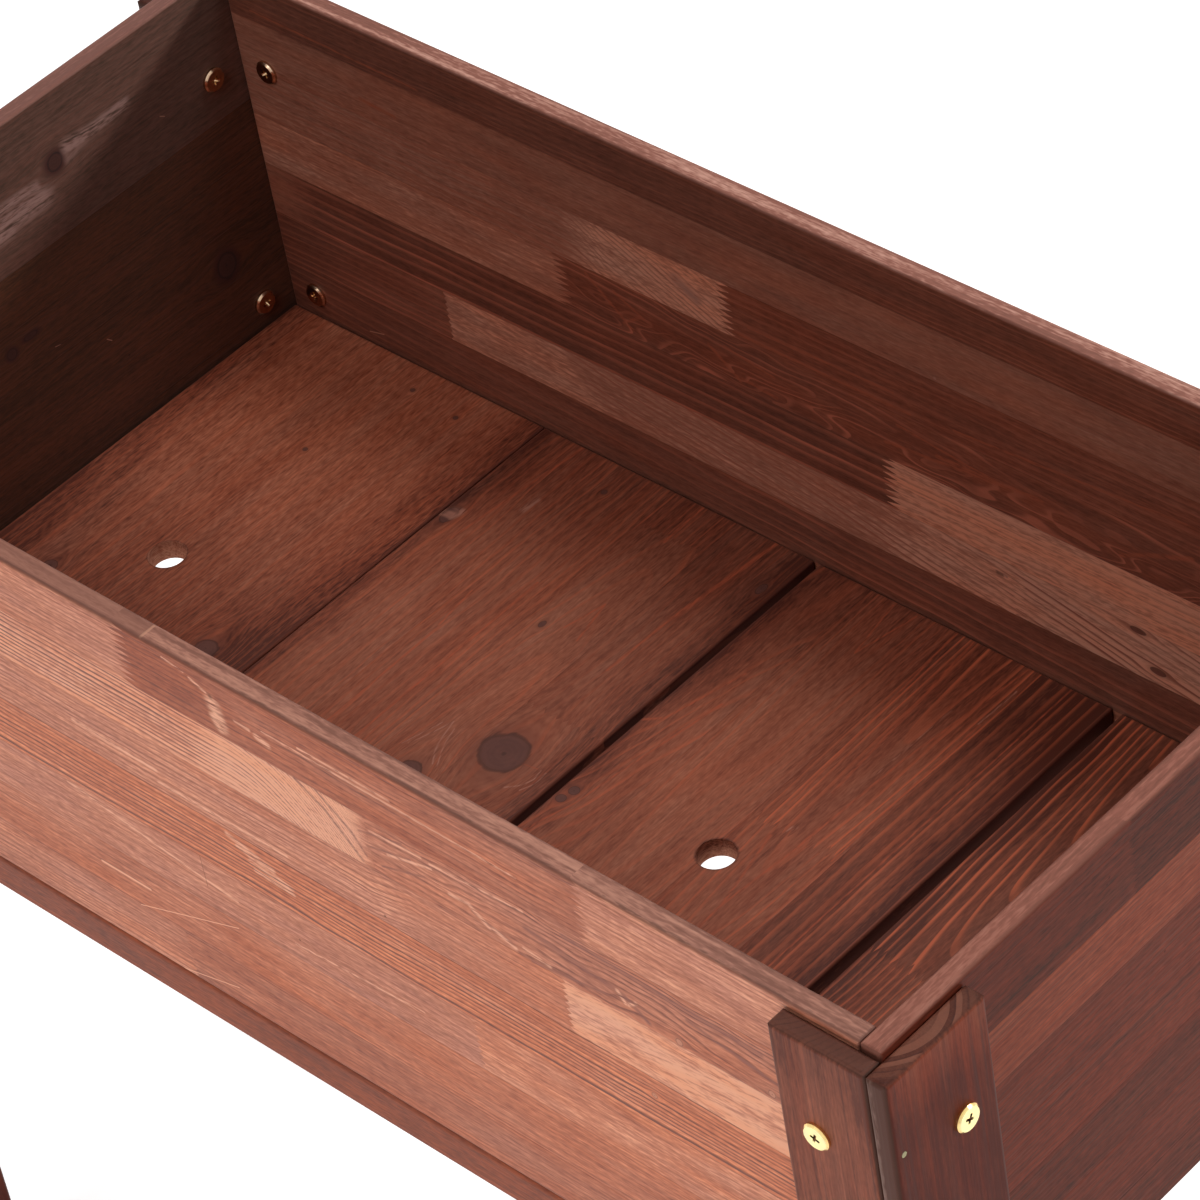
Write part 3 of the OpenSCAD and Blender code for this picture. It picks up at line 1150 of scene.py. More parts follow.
DEEP_STAIN = Stain(
    fine=0.25,
    scale=((0.113, 0.033, 0.0195), *SHARED_SCALE[1:4], (0.860, 0.385, 0.240)),
    knot=(0.120, 0.040, 0.028),
    knot_ring=(0.200, 0.070, 0.050),
    pale=(0.460, 0.240, 0.185),
    vein=(0.420, 0.115, 0.060),
    sharpness=1.3,
    late=(0.600, 0.200, 0.120),
    late_on_pale=(0.300, 0.095, 0.060),
    late_share=0.95,
    late_depth=0.05,
    rim=Rim((0.420, 0.160, 0.113), (0.800, 0.420, 0.320), (0.290, 0.110, 0.076)),
    arris=(0.250, 0.090, 0.062),
)

FLOOR_STAIN = Stain(
    fine=0.30,
    knot=(0.125, 0.052, 0.043),
    knot_ring=(0.175, 0.072, 0.055),
    pale=(0.520, 0.230, 0.160),
    vein=(0.540, 0.120, 0.056),
    sharpness=2.4,
    late=(0.720, 0.175, 0.080),
    late_on_pale=(0.560, 0.130, 0.058),
    late_share=1.0,
    late_depth=0.05,
    arris=(0.190, 0.060, 0.040),
)

# The end walls are stained deeper: their scale starts darker.
END_STAIN = replace(
    DEEP_STAIN,
    fine=0.22,
    streak=0.17,
    cloud=0.10,
    patch=0.40,
    late=(0.200, 0.070, 0.045),
    late_on_pale=(0.200, 0.070, 0.045),
    scale=(
        (0.058, 0.023, 0.0115),
        (0.230, 0.074, 0.046),
        (0.400, 0.140, 0.083),
        (0.560, 0.220, 0.135),
        (0.720, 0.310, 0.192),
    ),
)

LEG_STAIN = Stain(
    cloud=0.20,
    streak=0.38,
    fine=0.18,
    patch=0.6,
    side_share=0.8,
    warm=(1.0, 0.61, 0.50),
    # Painted highlight: the colour of the pale strip on the legs' outer arrises.
    pale=(0.170, 0.095, 0.075),
    gloss=0.10,
    late=(0.120, 0.042, 0.028),
    late_on_pale=(0.120, 0.042, 0.028),
    late_share=0.35,
    late_depth=0.15,
    arris=(0.070, 0.031, 0.021),
)


@dataclass(frozen=True)
class Walls:
    """The four glued-up walls of the trough."""

    front: Board = Board(
        "front_panel",
        Grain.LONG_WALL,
        PALE_STAIN,
        (
            Wood(0, END, 0.59, 0.0, 0.35, pith=-80, wander=4),
            *Wood(0, -62, 0.27, 1.00, 0.30, pith=-70, deep=24, ring=3.4, wander=5, fingers=11).then(
                (0, 0.39, 0.55, 0.35, 22),
                (160, 0.45, 0.35, 0.35, 40),
            ),
            Wood(0, 240, 0.66, -0.15, 0.20, pith=-70, ring=2.8, fingers=7),
            Wood(1, END, 0.63, 0.15, 1.30, pith=-90, ring=2.9),
            Wood(1, -15, 1.05, -0.20, 0.90, pith=-90, ring=2.9, soft=14, bend=(0, 0.008)),
            *Wood(1, 92, 0.52, 0.25, 0.45, deep=22, ring=3.4, wander=16, soft=6).then(
                (200, 0.44, 0.15, 0.65, 20),
            ),
            Wood(2, END, 0.62, 0.05, 0.55, pith=70),
            Wood(2, 105, 0.57, 0.30, 0.30, pith=70, ring=2.8, soft=14),
            Wood(2, 219, 0.92, 0.05, 0.22, pith=-90, drift=0.20, wander=1, fingers=3),
            Wood(3, END, 0.54, 1.00, 1.00, pith=90),
            Wood(4, END, 0.60, -0.25, 0.25, ring=4.4, wander=10),
            Wood(4, 147, 0.67, 0.40, 0.15, pith=60, ring=2.8, fingers=3),
            Wood(5, END, 0.54, 0.60, 0.30, pith=-90),
            Wood(6, END, 0.55, 0.10, 0.35, pith=70),
            Wood(6, -72, 0.42, 0.30, 0.25, pith=-70, ring=2.8, fingers=3),
        ),
        Glueing(720.2, 35.7),
        scratches=(
            Nick((-105, 542), (80, 30), 0.5), Nick((-82, 509), (44, 12), 0.5),
            Nick((-129, 560), (36, 0), 1.3),
        ),
        pales=(
            Nick((35, 741), (165, -2), 1.2), Nick((60, 744), (60, -1), 1.2),
            Nick((-30, 755), (14, -2), 1.2), Nick((-12, 751), (10, -4), 1.6), Nick((1, 742), (3, -14), 7.0),
            Nick((3, 742), (2, -12), 6.0), Nick((0, 732), (3, -6), 5.0), Nick((16, 738), (9, -1), 2.0),
            Nick((30, 735), (7, -2), 3.4), Nick((-14, 645), (30, -8), 3.0), Nick((-8, 640), (36, -9), 2.4),
            Nick((0, 634), (26, -4), 3.0), Nick((2, 629), (26, -2), 2.4), Nick((-120, 665), (60, -2), 2.0),
            Nick((-60, 655), (90, 0), 2.0), Nick((-140, 611), (60, -9), 1.5),
            Nick((-80, 602), (60, -8), 1.5), Nick((20, 588), (90, 6), 1.2), Nick((100, 712), (34, 2), 1.4),
            Nick((110, 702), (30, 8), 1.4), Nick((140, 713), (60, 4), 1.3), Nick((150, 699), (12, 1), 2.2),
            Nick((162, 700), (12, -9), 2.4), Nick((176, 692), (14, -5), 2.2),
            Nick((196, 690), (16, -2), 2.0), Nick((256, 699), (4, -6), 2.0), Nick((262, 693), (5, 4), 1.8),
        ),
        veins=(
            Nick((52, 720), (18, -11), 1.8), Nick((70, 709), (20, -22), 1.8),
            Nick((66, 720), (20, -16), 1.6), Nick((86, 704), (8, -12), 1.6),
            Nick((200, 706), (60, -8), 3.0), Nick((260, 698), (14, -10), 2.4),
            Nick((225, 716), (120, -4), 2.6), Nick((300, 706), (60, -10), 2.2),
            Nick((92, 708), (30, 8), 1.2), Nick((96, 700), (30, 8), 1.2), Nick((104, 691), (30, 10), 1.2),
            Nick((164, 696), (24, -7), 1.8), Nick((200, 684), (50, 8), 1.4),
        ),
        pits=(
            Nick((-42, 592), (0, 22), 0.3), Nick((24, 593), (0, 0), 1.2), Nick((1, 746), (0, 0), 2.6),
            Nick((97, 653), (0, 0), 1.4),
        ),
        knots=(Spot(292, 687, 2.2), Spot(268, 636, 1.6), Spot(348, 688, 2.0)),
        rim_joint=-44.5,
        shown_side=-1,
        seed=3.0,
    )
    back: Board = Board(
        "back_panel",
        Grain.LONG_WALL,
        DEEP_STAIN,
        (
            *Wood(0, END, 0.18, -1.0, 0.25, pith=60, ring=3.4).then((90, 0.20, -0.2, 0.45, 80)),
            Wood(1, END, 0.47, -0.8, 0.25, ring=3.4),
            Wood(2, END, 0.54, -1.0, 0.60, pith=-36, deep=14, ring=3.8, wander=9),
            Wood(2, -150, 0.93, -0.5, 0.60, pith=-110, deep=14, ring=3.8, drift=-0.45, soft=16),
            Wood(2, -45, 0.24, -0.2, 0.45, pith=60, ring=5.4),
            Wood(3, END, 0.67, -0.5, 0.40, ring=3.8),
            Wood(3, -170, 0.20, -0.25, 0.85, pith=2, deep=12, ring=3.6, taper=0.05, wander=20),
            *Wood(4, END, 0.40, -0.5, 0.50, pith=-50, ring=6.4, wander=3).then(
                (-382, 0.17, -0.8, 0.85, 14),
            ),
            Wood(4, 60, 0.96, -0.3, 0.30, pith=50, ring=4.0),
            # Painted shade: this stave is darker at its left end, up to the change at -350, for the shade in
            # the back left corner.
            *Wood(5, END, 0.10, -0.6, 0.40, pith=50, ring=3.8).then((-350, 0.30, -0.8, 0.50, 70)),
            Wood(5, -272, 0.79, -0.7, 0.35, pith=-80, deep=14, ring=4.4, drift=-0.2, fingers=2),
            Wood(5, -166, 0.68, -1.0, 0.80, pith=-80, deep=14, ring=4.4, drift=-0.2, soft=8, lean=0.7),
            Wood(5, 60, 0.93, -0.9, 0.80, pith=-80, deep=14, ring=4.4, drift=-0.2, soft=20),
            Wood(5, 143, 0.98, -0.7, 0.90, pith=-90, ring=5.0, drift=-0.22),
            # Painted shade: this stave is darker at its left end, up to the change at -330, for the shade in
            # the back left corner.
            *Wood(6, END, 0.10, -0.6, 0.30, pith=30, ring=4.4, drift=-0.06).then(
                (-330, 0.24, -0.9, 0.30, 80),
                (-60, 0.22, -0.9, 0.70, 16),
            ),
        ),
        Glueing(731.2, 35.5),
        knots=(
            Spot(222, 586, 2.0, 2.6), Spot(233, 563, 2.3, 2.2),
        ),
        scratches=(Nick((-345, 527), (12, 3), 0.6),),
        veins=(
            Nick((-390, 738), (130, -3), 1.2), Nick((-310, 709), (26, -2), 2.2),
            Nick((110, 667), (150, 10), 1.4), Nick((-40, 664), (120, 0), 1.6),
            Nick((-30, 672), (100, 2), 1.2), Nick((-150, 656), (30, -26), 1.8),
            Nick((-130, 652), (20, -10), 1.6), Nick((-112, 642), (-14, -10), 1.6),
            Nick((-62, 646), (20, -16), 2.0), Nick((-40, 632), (24, -2), 1.6),
            Nick((-50, 650), (34, -6), 1.4), Nick((60, 636), (100, 10), 1.8),
            Nick((70, 652), (70, -8), 1.6), Nick((96, 643), (30, 1), 2.6), Nick((145, 645), (20, 1), 2.4),
            Nick((262, 655), (-30, -12), 2.4), Nick((232, 643), (-17, -9), 2.0),
        ),
        pits=(Nick((129, 579), (3, 0), 2.2),),
        pales=(
            Nick((-187, 672), (0, 0), 1.6), Nick((-225, 591), (0, 0), 1.6), Nick((101, 698), (0, 0), 1.6),
            Nick((32, 578), (0, 0), 1.4), Nick((134, 580), (1, -1), 1.6), Nick((-80, 683), (14, -8), 6.0),
        ),
        shown_side=-1,
        seed=7.0,
    )
    left: Board = Board(
        "left_end_panel",
        Grain.END_WALL,
        replace(
            END_STAIN,
            sheen=0.14,
            knot=(0.062, 0.022, 0.016),
            knot_ring=(0.100, 0.036, 0.026),
            halo=(0.060, 0.016, 0.012),
            halo_share=0.95,
            pith=(0.014, 0.008, 0.008),
            rim=replace(DEEP_STAIN.rim, colour=(0.230, 0.084, 0.061), pale=(0.370, 0.150, 0.110)),
            # Painted sheen: the pale colour is that of the sheen streaks on the lit band, and the cool tint,
            # taken by the two top staves, pales that band as a sheen would.
            pale=(0.400, 0.240, 0.205),
            warm=(1.0, 0.96, 0.58),
            cool=(0.86, 1.28, 1.48),
        ),
        # Painted shade and sheen: the very low tones paint the shade on the inner face, and the cool hue of
        # the two top staves paints the sheen of their lit band.
        (
            Wood(0, END, 0.16, -1.0, 0.35, pith=-70, ring=3.4),
            Wood(1, END, 0.16, -1.0, 0.35, pith=60, ring=3.6),
            Wood(2, END, 0.06, 1.0, 0.20, ring=4.4),
            Wood(3, END, 0.06, 1.0, 0.25, pith=60, ring=4.4),
            Wood(4, END, 0.06, 1.0, 0.25, pith=-50, ring=4.4),
            Wood(5, END, 0.07, 1.0, 0.25, pith=60, ring=4.4),
            Wood(6, END, 0.05, 1.0, 0.35, pith=60, ring=4.4),
        ),
        Glueing(704.6, 35.5),
        knots=(Spot(60, 716, 6.0), Spot(0, 621, 3.5), Spot(15, 624, 2.0, 2.6), Spot(157, 577, 8.5, 0.8)),
        scratches=(
            Nick((64, 587), (3, -3), 0.5),
            Nick((29, 606), (4, -1), 0.4),
            Nick((136, 698), (3, -2), 0.5),
        ),
        pits=(Nick((30, 605), (60, -1), 0.4), Nick((76, 567), (0, 0), 1.0)),
        # Painted sheen: bright streaks on the lit upper band of the inner face.
        pales=(
            Nick((-40, 700), (86, 1), 13.0), Nick((-40, 694), (60, 1), 8.0), Nick((70, 718), (44, 3), 6.5),
            Nick((10, 711), (34, 0), 5.0),
        ),
        # Painted shade: the shown inner face is darker than the outer face by this tone.
        far_side_tone=0.16,
        shown_side=1,
        seed=12.0,
    )
    right: Board = Board(
        "right_end_panel",
        Grain.END_WALL,
        replace(
            END_STAIN,
            warm=(1.0, 0.58, 0.47),
            streak=0.28,
            fine=0.26,
            gloss=0.10,
            rim=replace(DEEP_STAIN.rim, colour=(0.420, 0.150, 0.105), pale=(0.560, 0.235, 0.165)),
        ),
        (
            Wood(0, END, 0.14, 1.0, 0.30, pith=-70),
            Wood(0, -40, 0.07, 1.0, 0.30, pith=-50, fingers=4),
            Wood(1, END, 0.43, 0.75, 0.60, pith=60),
            Wood(2, END, 0.22, 1.0, 0.60),
            Wood(3, END, 0.22, 1.0, 0.50, pith=60, ring=3.2),
            Wood(4, END, 0.15, 1.0, 0.40),
            Wood(5, END, 0.17, 1.0, 0.40, pith=60, ring=3.2),
            Wood(6, END, 0.15, 1.0, 0.40, pith=60),
        ),
        Glueing(714.0, 35.5),
        pits=(Nick((-57, 738), (0, 0), 1.2), Nick((-59, 735), (0, 0), 1.0), Nick((-25, 663), (0, 0), 1.2)),
        shown_side=1,
        seed=17.0,
    )

    def dress(self) -> None:
        """Dresses the four walls."""
        for wall in (self.front, self.back, self.left, self.right):
            wall.dress()


def floor_board(number: int, woods: tuple[Wood, ...], **more: object) -> Board:
    """A floor board, seen from above, with painted shade on its matt sides.

    Args:
        number: Counted from the left.
        woods: Its lengths of wood.
        more: Whatever else it shows, in place of what all floor boards share.

    Returns:
        The board.
    """
    # Painted shade: the long edges are darkened, partly for stain gathered there, and the sides in the gaps
    # are darkened in full.
    shared = {"stain": FLOOR_STAIN, "shown_side": 1, "shaded_edges": 0.20, "dark_sides": 1.0}
    shared.update(more, matt_sides=True, seed=20.0 + 3 * number)
    return Board(f"floor_board_{number}", Grain.FLOOR, woods=woods, **shared)


@dataclass(frozen=True)
class PlantingFloor:
    """The four loose boards, and the rails that carry them."""

    board_1: Board = floor_board(
        1,
        (
            # Painted shade: the front end is darker (tone 0.15), for the shade in the front left corner.
            *Wood(0, END, 0.15, -0.10, 0.30, deep=-24, ring=4.2).then((10, 0.54, 0.75, 0.30, 80)),
        ),
        knots=(
            Spot(108, -309, 1.5), Spot(180, -293, 1.6), Spot(176, -255, 1.6), Spot(-44, -361, 4),
            Spot(-42, -237, 7),
        ),
        stain=replace(FLOOR_STAIN, fine=0.42),
        # Partly painted shade: wide darkened edges by the left wall and the gap.
        shaded_edges=0.30,
        edge_width=42.0,
        bare_wood=0.7,
        hole=(0.0, -311.05),
    )
    board_2: Board = floor_board(
        2,
        (
            Wood(0, END, 0.36, 0.10, 0.25, pith=-90, deep=-30, ring=5.4, wander=5),
            Wood(0, 28, 0.34, 0.0, 0.25, deep=-30, ring=5.0, wander=5, fingers=4),
            Wood(1, END, 0.42, 0.20, 0.35, pith=8, deep=-14, ring=3.6, taper=-0.09, wander=4),
            Wood(1, 168, 0.36, 0.40, 0.35, pith=-50, deep=-14, ring=4.4, fingers=4),
            Wood(2, END, 0.40, 0.30, 0.40, pith=-70, deep=-30, ring=5.2, wander=4),
            Wood(3, END, 0.42, 0.30, 0.35, pith=-90, deep=-30, ring=5.6, wander=5),
            Wood(4, END, 0.38, 0.20, 0.25, pith=-90, deep=-30, ring=5.0, wander=5),
        ),
        knots=(
            Spot(-9, -43, 14.0, 1.05), Spot(-48, -77, 7.0, 1.1), Spot(77, -95, 2.0, 1.6),
            Spot(113, -200, 4.0, 1.6), Spot(176, -140, 1.8), Spot(165, -14, 2.5, 1.8),
        ),
        veins=(
            Nick((198, -175), (-98, -11), 1.6), Nick((75, -146), (-40, 5), 1.0),
            Nick((35, -141), (-90, 1), 1.1), Nick((100, -120), (-150, 1), 1.2),
            Nick((198, -85), (-34, 1), 1.6), Nick((108, -77), (-26, -6), 1.0),
            Nick((108, -77), (-30, 7), 1.2), Nick((198, -31), (-78, -8), 2.2),
            Nick((120, -39), (-50, -2), 1.4), Nick((-9, -43), (2, 12), 0.6),
        ),
        pales=(
            Nick((-7, -28), (-7, 2), 1.0), Nick((-14, -26), (-7, -3), 1.0), Nick((-21, -29), (-6, -6), 1.0),
            Nick((-7, -23), (-9, 1), 0.9), Nick((-16, -22), (-8, -4), 0.9), Nick((-6, -78), (-26, -9), 0.9),
            Nick((-6, -78), (-30, 11), 0.9), Nick((-10, -84), (-24, -7), 0.8),
            Nick((-10, -72), (-26, 9), 0.8), Nick((112, -201), (8, 3), 3.0),
            Nick((140, -168), (10, 2), 3.5),
        ),
        glueing=Glueing(-60.0, 46.0),
        # Painted shade of the back wall on the far end.
        far_shade=0.20,
    )
    board_3: Board = floor_board(
        3,
        (
            Wood(0, END, 0.19, 0.25, 0.60, pith=90, deep=-30, ring=7.0, wander=1.5),
            Wood(1, END, 0.39, 0.40, 0.70, pith=3, deep=-13, ring=4.6, taper=0.055),
            Wood(1, 34, 0.36, 0.45, 0.95, pith=3, deep=-13, ring=4.4, taper=0.03, wander=2.5, fingers=8),
            Wood(2, END, 0.43, 0.35, 0.35, pith=-3, deep=-14, ring=4.6, taper=0.05),
            Wood(3, END, 0.38, 0.30, 0.45, pith=-30, deep=-24, ring=6.0, drift=0.24, wander=5),
        ),
        knots=(Spot(-8, 7, 3.0), Spot(-16, 5, 3.0)),
        veins=(
            Nick((198, 96), (-100, 8), 1.2), Nick((98, 104), (-50, 3), 1.0),
            Nick((198, 108), (-70, 7), 1.6), Nick((128, 115), (-60, 5), 1.4),
            Nick((198, 146), (-90, -11), 1.3), Nick((108, 135), (-80, -4), 1.4),
            Nick((150, 151), (-120, 1), 1.0), Nick((26, 114), (-52, 12), 1.4),
            Nick((26, 131), (-52, -5), 1.3), Nick((-26, 126), (-24, 1), 1.2),
            Nick((198, 174), (-250, 0), 0.9), Nick((155, 61), (40, 9), 1.0), Nick((155, 61), (40, -7), 1.0),
            Nick((110, 23), (-50, -13), 1.2), Nick((60, 10), (-8, -10), 1.5),
            Nick((85, 28), (-80, -12), 1.2), Nick((5, 16), (-50, -11), 1.3),
        ),
        pales=(Nick((34, 118), (4, 3), 2.0), Nick((150, 150), (30, 1), 0.8), Nick((90, 130), (60, 2), 0.8)),
        glueing=Glueing(154.0, 59.0),
        # Painted shade of the back wall on the far end.
        far_shade=0.20,
        hole=(0.0, 99.75),
    )
    board_4: Board = floor_board(
        4,
        (
            Wood(0, END, 0.25, 0.25, 0.70, deep=-12, ring=4.5, wander=3),
            Wood(1, END, 0.28, 0.10, 0.80, deep=-16, ring=5.0, wander=3),
            Wood(2, END, 0.26, 0.10, 0.70, pith=-30, deep=-16, ring=4.0, wander=3),
            Wood(3, END, 0.22, 0.20, 0.80, deep=-14, ring=4.0, wander=3),
            Wood(3, -5, 0.15, 0.10, 1.00, pith=9, deep=-14, ring=5.0, taper=0.085, wander=3, fingers=8),
        ),
        glueing=Glueing(378.0, 57.0),
    )
    rail_wood: tuple[Wood, ...] = (Wood(0, END, 0.15, 1.0, 0.12),)
    rail_stain: Stain = replace(FLOOR_STAIN, warm=(1.0, 0.74, 0.48))

    def dress(self) -> None:
        """Dresses the boards from left to right, and then the rails."""
        for board in (self.board_1, self.board_2, self.board_3, self.board_4):
            board.dress()
        for side in ("front", "back"):
            Board(f"{side}_floor_rail", Grain.LONG_WALL, self.rail_stain, self.rail_wood, seed=40.0).dress()


@dataclass(frozen=True)
class Legs:
    """The four legs, each of a face board and an end board that covers its edge."""

    face: tuple[Wood, ...] = Wood(0, END, 0.15, 0.0, 0.50, pith=-40, deep=16, ring=3.4).then(
        (735, 0.07, -0.1, 0.60, 30)
    )
    end: tuple[Wood, ...] = Wood(0, END, 0.03, 1.00, 0.50, pith=2, deep=-26, ring=3.2).then(
        (740, 0.33, 0.65, 0.50, 20)
    )
    end_stain: Stain = replace(LEG_STAIN, end=(0.250, 0.100, 0.065), end_rings=1.6)
    edge_shade: float = 0.12
    edge_width: float = 9.0
    outer_arris: float = 223.5
    height: float = 756.0

    def dress(self) -> None:
        """Dresses each leg's face board, and its end board with a painted highlight along its outer arris."""
        edges = {"shaded_edges": self.edge_shade, "edge_width": self.edge_width}
        for corner, name in enumerate(("front_left", "front_right", "back_left", "back_right")):
            leg = f"{name}_leg"
            face_seed = 50.0 + corner
            Board(f"{leg}_face_board", Grain.LEG_FACE, LEG_STAIN, self.face, seed=face_seed, **edges).dress()
            across = -self.outer_arris if name.startswith("front") else self.outer_arris
            # Painted highlight: a pale strip along the end board's outer arris.
            seen = {"pales": (Nick((0, across), (self.height, 0), 1.8),), "seed": 60.0 + corner}
            seen["shown_side"] = -1 if name.endswith("right") else 1
            Board(f"{leg}_end_board", Grain.LEG_END, self.end_stain, self.end, **seen, **edges).dress()


class HeadZones(Effect):
    """The rim and the recess of a fastener's head, found from the corner pattern of the bolts."""

    title = "head zones"
    takes = {"Vector": "point"}
    gives = {"Float": "rim recess"}
    middle_height = 616.5
    half_pitch = 80.5
    long_wall_bolt = 386.5
    end_wall_bolt = 177.5
    long_wall_flats = (226.0, 197.0)
    end_wall_flats = (435.0, 406.0)

    def make(self, graph: Graph, given: SimpleNamespace) -> tuple[Signal, ...]:
        """The radius is measured from the nearest bolt's axis, and the depth from the nearest head's flat.

        Args:
            graph: The group's own tree.
            given: What it takes, by name.

        Returns:
            The masks of the rim and of the recess.
        """
        offset = graph.vector("SUBTRACT", given.point, (0.0, 0.0, self.middle_height))
        x, y, z = (abs(part) for part in graph.split(offset))
        height = z - self.half_pitch
        beside_long = x - self.long_wall_bolt
        beside_end = y - self.end_wall_bolt
        on_long_wall = graph.math("SQRT", beside_long * beside_long + height * height)
        on_end_wall = graph.math("SQRT", beside_end * beside_end + height * height)
        radius = graph.least(on_long_wall, on_end_wall)
        long_depth = graph.least(*(abs(y - flat) for flat in self.long_wall_flats))
        end_depth = graph.least(*(abs(x - flat) for flat in self.end_wall_flats))
        depth = graph.mix(graph.math("LESS_THAN", on_long_wall, on_end_wall), end_depth, long_depth)
        return graph.rise(radius, 6.1, 7.2), graph.rise(radius, 3.7, 3.3) * graph.rise(depth, 0.1, 0.5)


@dataclass(frozen=True)
class Plating:
    """A metal finish: its colour, its tinted patches, its rim, its recess with painted light (shade on the
    bolts, highlights on the cap nuts), and its polish.
    """

    name: str
    colour: Colour
    patch: Colour
    rim: Colour
    recess: Colour
    roughness: float

    def material(self) -> bpy.types.Material:
        """The metal as a material, with cloudy patches and fine polishing marks.

        Returns:
            The material.
        """
        material, graph, shader = new_material(self.name)
        point = graph.millimetres()
        cloud = graph.noise(point, (3.5, 3.5, 3.5), 3.0)
        marks = graph.noise(point, (0.5, 0.5, 4.0), 2.0)
        rim, recess = HeadZones().place(graph, point=point)
        colour = graph.tint(cloud * 1.1 + 0.4, self.colour, self.patch)
        colour = graph.tint(rim * (marks * 0.4 + 0.6), colour, self.rim)
        values = {
            "Base Color": graph.tint(recess, colour, self.recess),
            "Metallic": 1.0,
            "Roughness": cloud * 0.06 + marks * 0.04 + self.roughness,
            "Normal": graph.bump(0.15, 0.05, marks),
        }
        graph.fill(shader, values)
        return material


@dataclass(frozen=True)
class Fasteners:
    """Connector bolts, cap nuts, brads and rail screws."""

    zinc: Plating = Plating(
        "zinc_plating",
        (0.95, 0.86, 0.39),
        (0.78, 0.70, 0.40),
        (0.84, 0.44, 0.12),
        # Painted shade in the socket recess.
        (0.13, 0.055, 0.025),
        0.22,
    )
    # Painted reflections: the cap nuts carry the same zinc, darkened for the dark box mirrored in their
    # flats, with a pale rim and recess for painted highlights.
    dull_zinc: Plating = Plating(
        "cap_nut_zinc_with_painted_reflections",
        (0.46, 0.27, 0.16),
        (0.30, 0.15, 0.09),
        (0.72, 0.52, 0.36),
        (0.62, 0.42, 0.24),
        0.19,
    )
    steel: Plating = Plating(
        "steel_surface",
        (0.34, 0.30, 0.17),
        (0.14, 0.12, 0.08),
        (0.34, 0.30, 0.17),
        (0.30, 0.26, 0.20),
        0.55,
    )

    def dress(self) -> None:
        """Gives each group of fasteners its metal."""
        metals = (
            (self.zinc, ("_bolts", "_rail_screws")),
            (self.dull_zinc, ("_cap_nuts",)),
            (self.steel, ("_brads",)),
        )
        for plating, endings in metals:
            material = plating.material()
            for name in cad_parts:
                if name.endswith(endings):
                    set_material(name, material)
        LOG.info("dressed the fasteners")


@dataclass(frozen=True)
class Lamp:
    """An area lamp of the studio."""

    name: str
    place: Colour
    aim: Colour
    size: Place
    power: float

    def light(self) -> None:
        """Puts the lamp in the scene, turned to its aim."""
        data = bpy.data.lights.new(self.name, "AREA")
        data.shape = "RECTANGLE"
        data.size, data.size_y = self.size
        data.energy = self.power
        lamp = bpy.data.objects.new(self.name, data)
        bpy.context.scene.collection.objects.link(lamp)
        lamp.location = self.place
        lamp.rotation_euler = (Vector(self.aim) - Vector(self.place)).to_track_quat("-Z", "Y").to_euler()


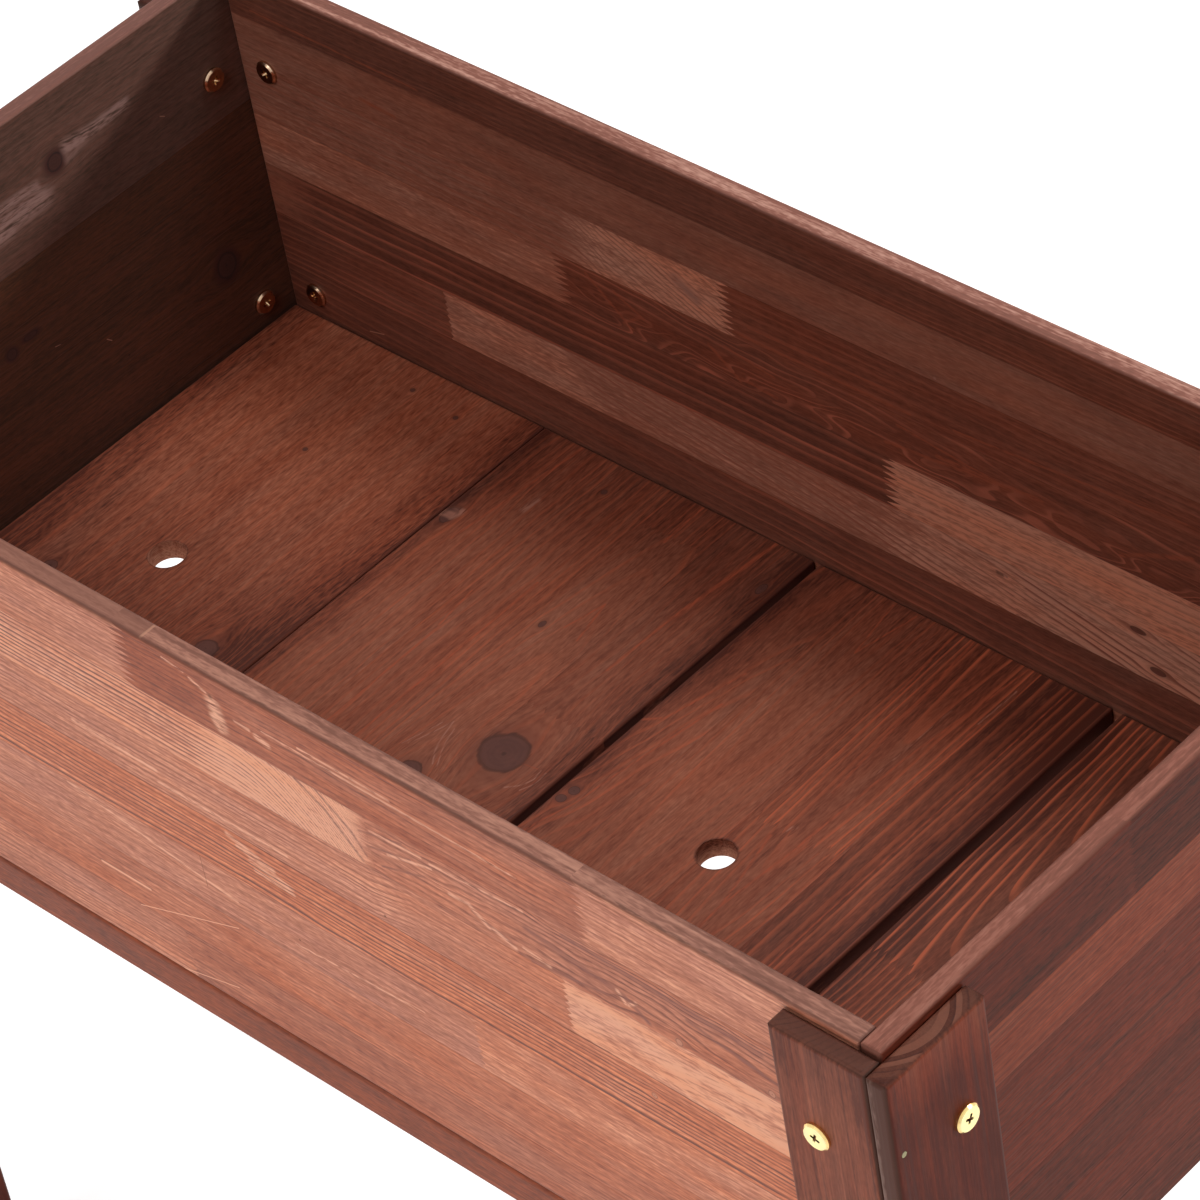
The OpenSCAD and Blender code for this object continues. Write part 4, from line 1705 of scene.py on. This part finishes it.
@dataclass(frozen=True)
class Studio:
    """A pale floor, a white surround and soft lamps."""

    reach: float = 8.0
    surround: float = 0.045
    paper: Colour = (0.86, 0.86, 0.86)
    paper_roughness: float = 0.9
    paper_glow: float = 0.75
    lamps: tuple[Lamp, ...] = (
        Lamp("front_lamp", (0.4, -3.0, 0.35), (0.0, -0.2, 0.62), (1.6, 0.5), 42.0),
        Lamp("high_front_lamp", (0.0, -1.6, 2.6), (0.0, 0.0, 0.6), (1.2, 1.2), 15.5),
        Lamp("high_back_lamp", (0.0, 1.1, 3.0), (0.0, 0.0, 0.6), (1.0, 1.0), 22.0),
        Lamp("back_right_lamp", (2.6, 2.2, 1.75), (-0.3, 0.0, 0.7), (0.35, 0.35), 46.0),
        Lamp("left_lamp", (-3.0, -0.2, 0.35), (-0.4, 0.0, 0.62), (1.2, 0.5), 30.0),
        Lamp("rear_lamp", (-0.4, 3.0, 0.35), (0.0, 0.2, 0.62), (1.6, 0.5), 30.0),
    )

    def floor(self) -> None:
        """The floor, which shows white and keeps the shadow."""
        corners = [(x * self.reach, y * self.reach, 0.0) for x, y in ((-1, -1), (1, -1), (1, 1), (-1, 1))]
        mesh = bpy.data.meshes.new("studio_floor")
        mesh.from_pydata(corners, [], [(0, 1, 2, 3)])
        plane = bpy.data.objects.new("studio_floor", mesh)
        bpy.context.scene.collection.objects.link(plane)
        material, graph, shader = new_material("studio_paper")
        values = {
            "Base Color": self.paper,
            "Roughness": self.paper_roughness,
            "Emission Color": WHITE,
            "Emission Strength": graph.seen() * self.paper_glow,
        }
        graph.fill(shader, values)
        mesh.materials.append(material)

    def world(self) -> None:
        """The surround, white to the eye and softer as a light."""
        world = bpy.data.worlds.new("studio")
        bpy.context.scene.world = world
        world.use_nodes = True
        graph = Graph(world.node_tree)
        strength = graph.mix(graph.seen(), self.surround, 1.0)
        graph.fill(world.node_tree.nodes["Background"], {"Color": WHITE, "Strength": strength})

    def build(self) -> None:
        """Sets the stage."""
        self.floor()
        self.world()
        for lamp in self.lamps:
            lamp.light()
        bpy.context.scene.view_settings.view_transform = "Standard"
        LOG.info("lit the studio with %d lamps", len(self.lamps))


@dataclass(frozen=True)
class Viewpoint:
    """Where the camera stands and how it is held."""

    place: Colour = (1.5338, -1.2693, 2.4039)
    azimuth: float = 49.53
    elevation: float = 41.57
    roll: float = -10.53
    lens: float = 157.4
    sensor: float = 36.0
    farthest: float = 50.0

    def build(self) -> None:
        """Makes the camera, with its axes from the azimuth, the elevation and the roll."""
        turn, tilt, roll = (math.radians(angle) for angle in (self.azimuth, self.elevation, self.roll))
        back = Vector((math.sin(turn) * math.cos(tilt), -math.cos(turn) * math.cos(tilt), math.sin(tilt)))
        level = Vector((math.cos(turn), math.sin(turn), 0.0))
        upright = back.cross(level)
        right = level * math.cos(roll) + upright * math.sin(roll)
        up = upright * math.cos(roll) - level * math.sin(roll)
        data = bpy.data.cameras.new("camera")
        data.lens = self.lens
        data.sensor_width = self.sensor
        data.clip_end = self.farthest
        camera = bpy.data.objects.new("camera", data)
        bpy.context.scene.collection.objects.link(camera)
        camera.matrix_world = Matrix.Translation(self.place) @ Matrix((right, up, back)).transposed().to_4x4()
        bpy.context.scene.camera = camera
        LOG.info("placed the camera")


def main() -> None:
    """Dresses the box piece by piece, then lights it and places the camera."""
    logging.basicConfig(level=logging.INFO, format="%(message)s")
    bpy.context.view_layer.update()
    for assembly in (Walls(), PlantingFloor(), Legs(), Fasteners()):
        assembly.dress()
    Studio().build()
    Viewpoint().build()


if __name__ == "__main__":
    main()
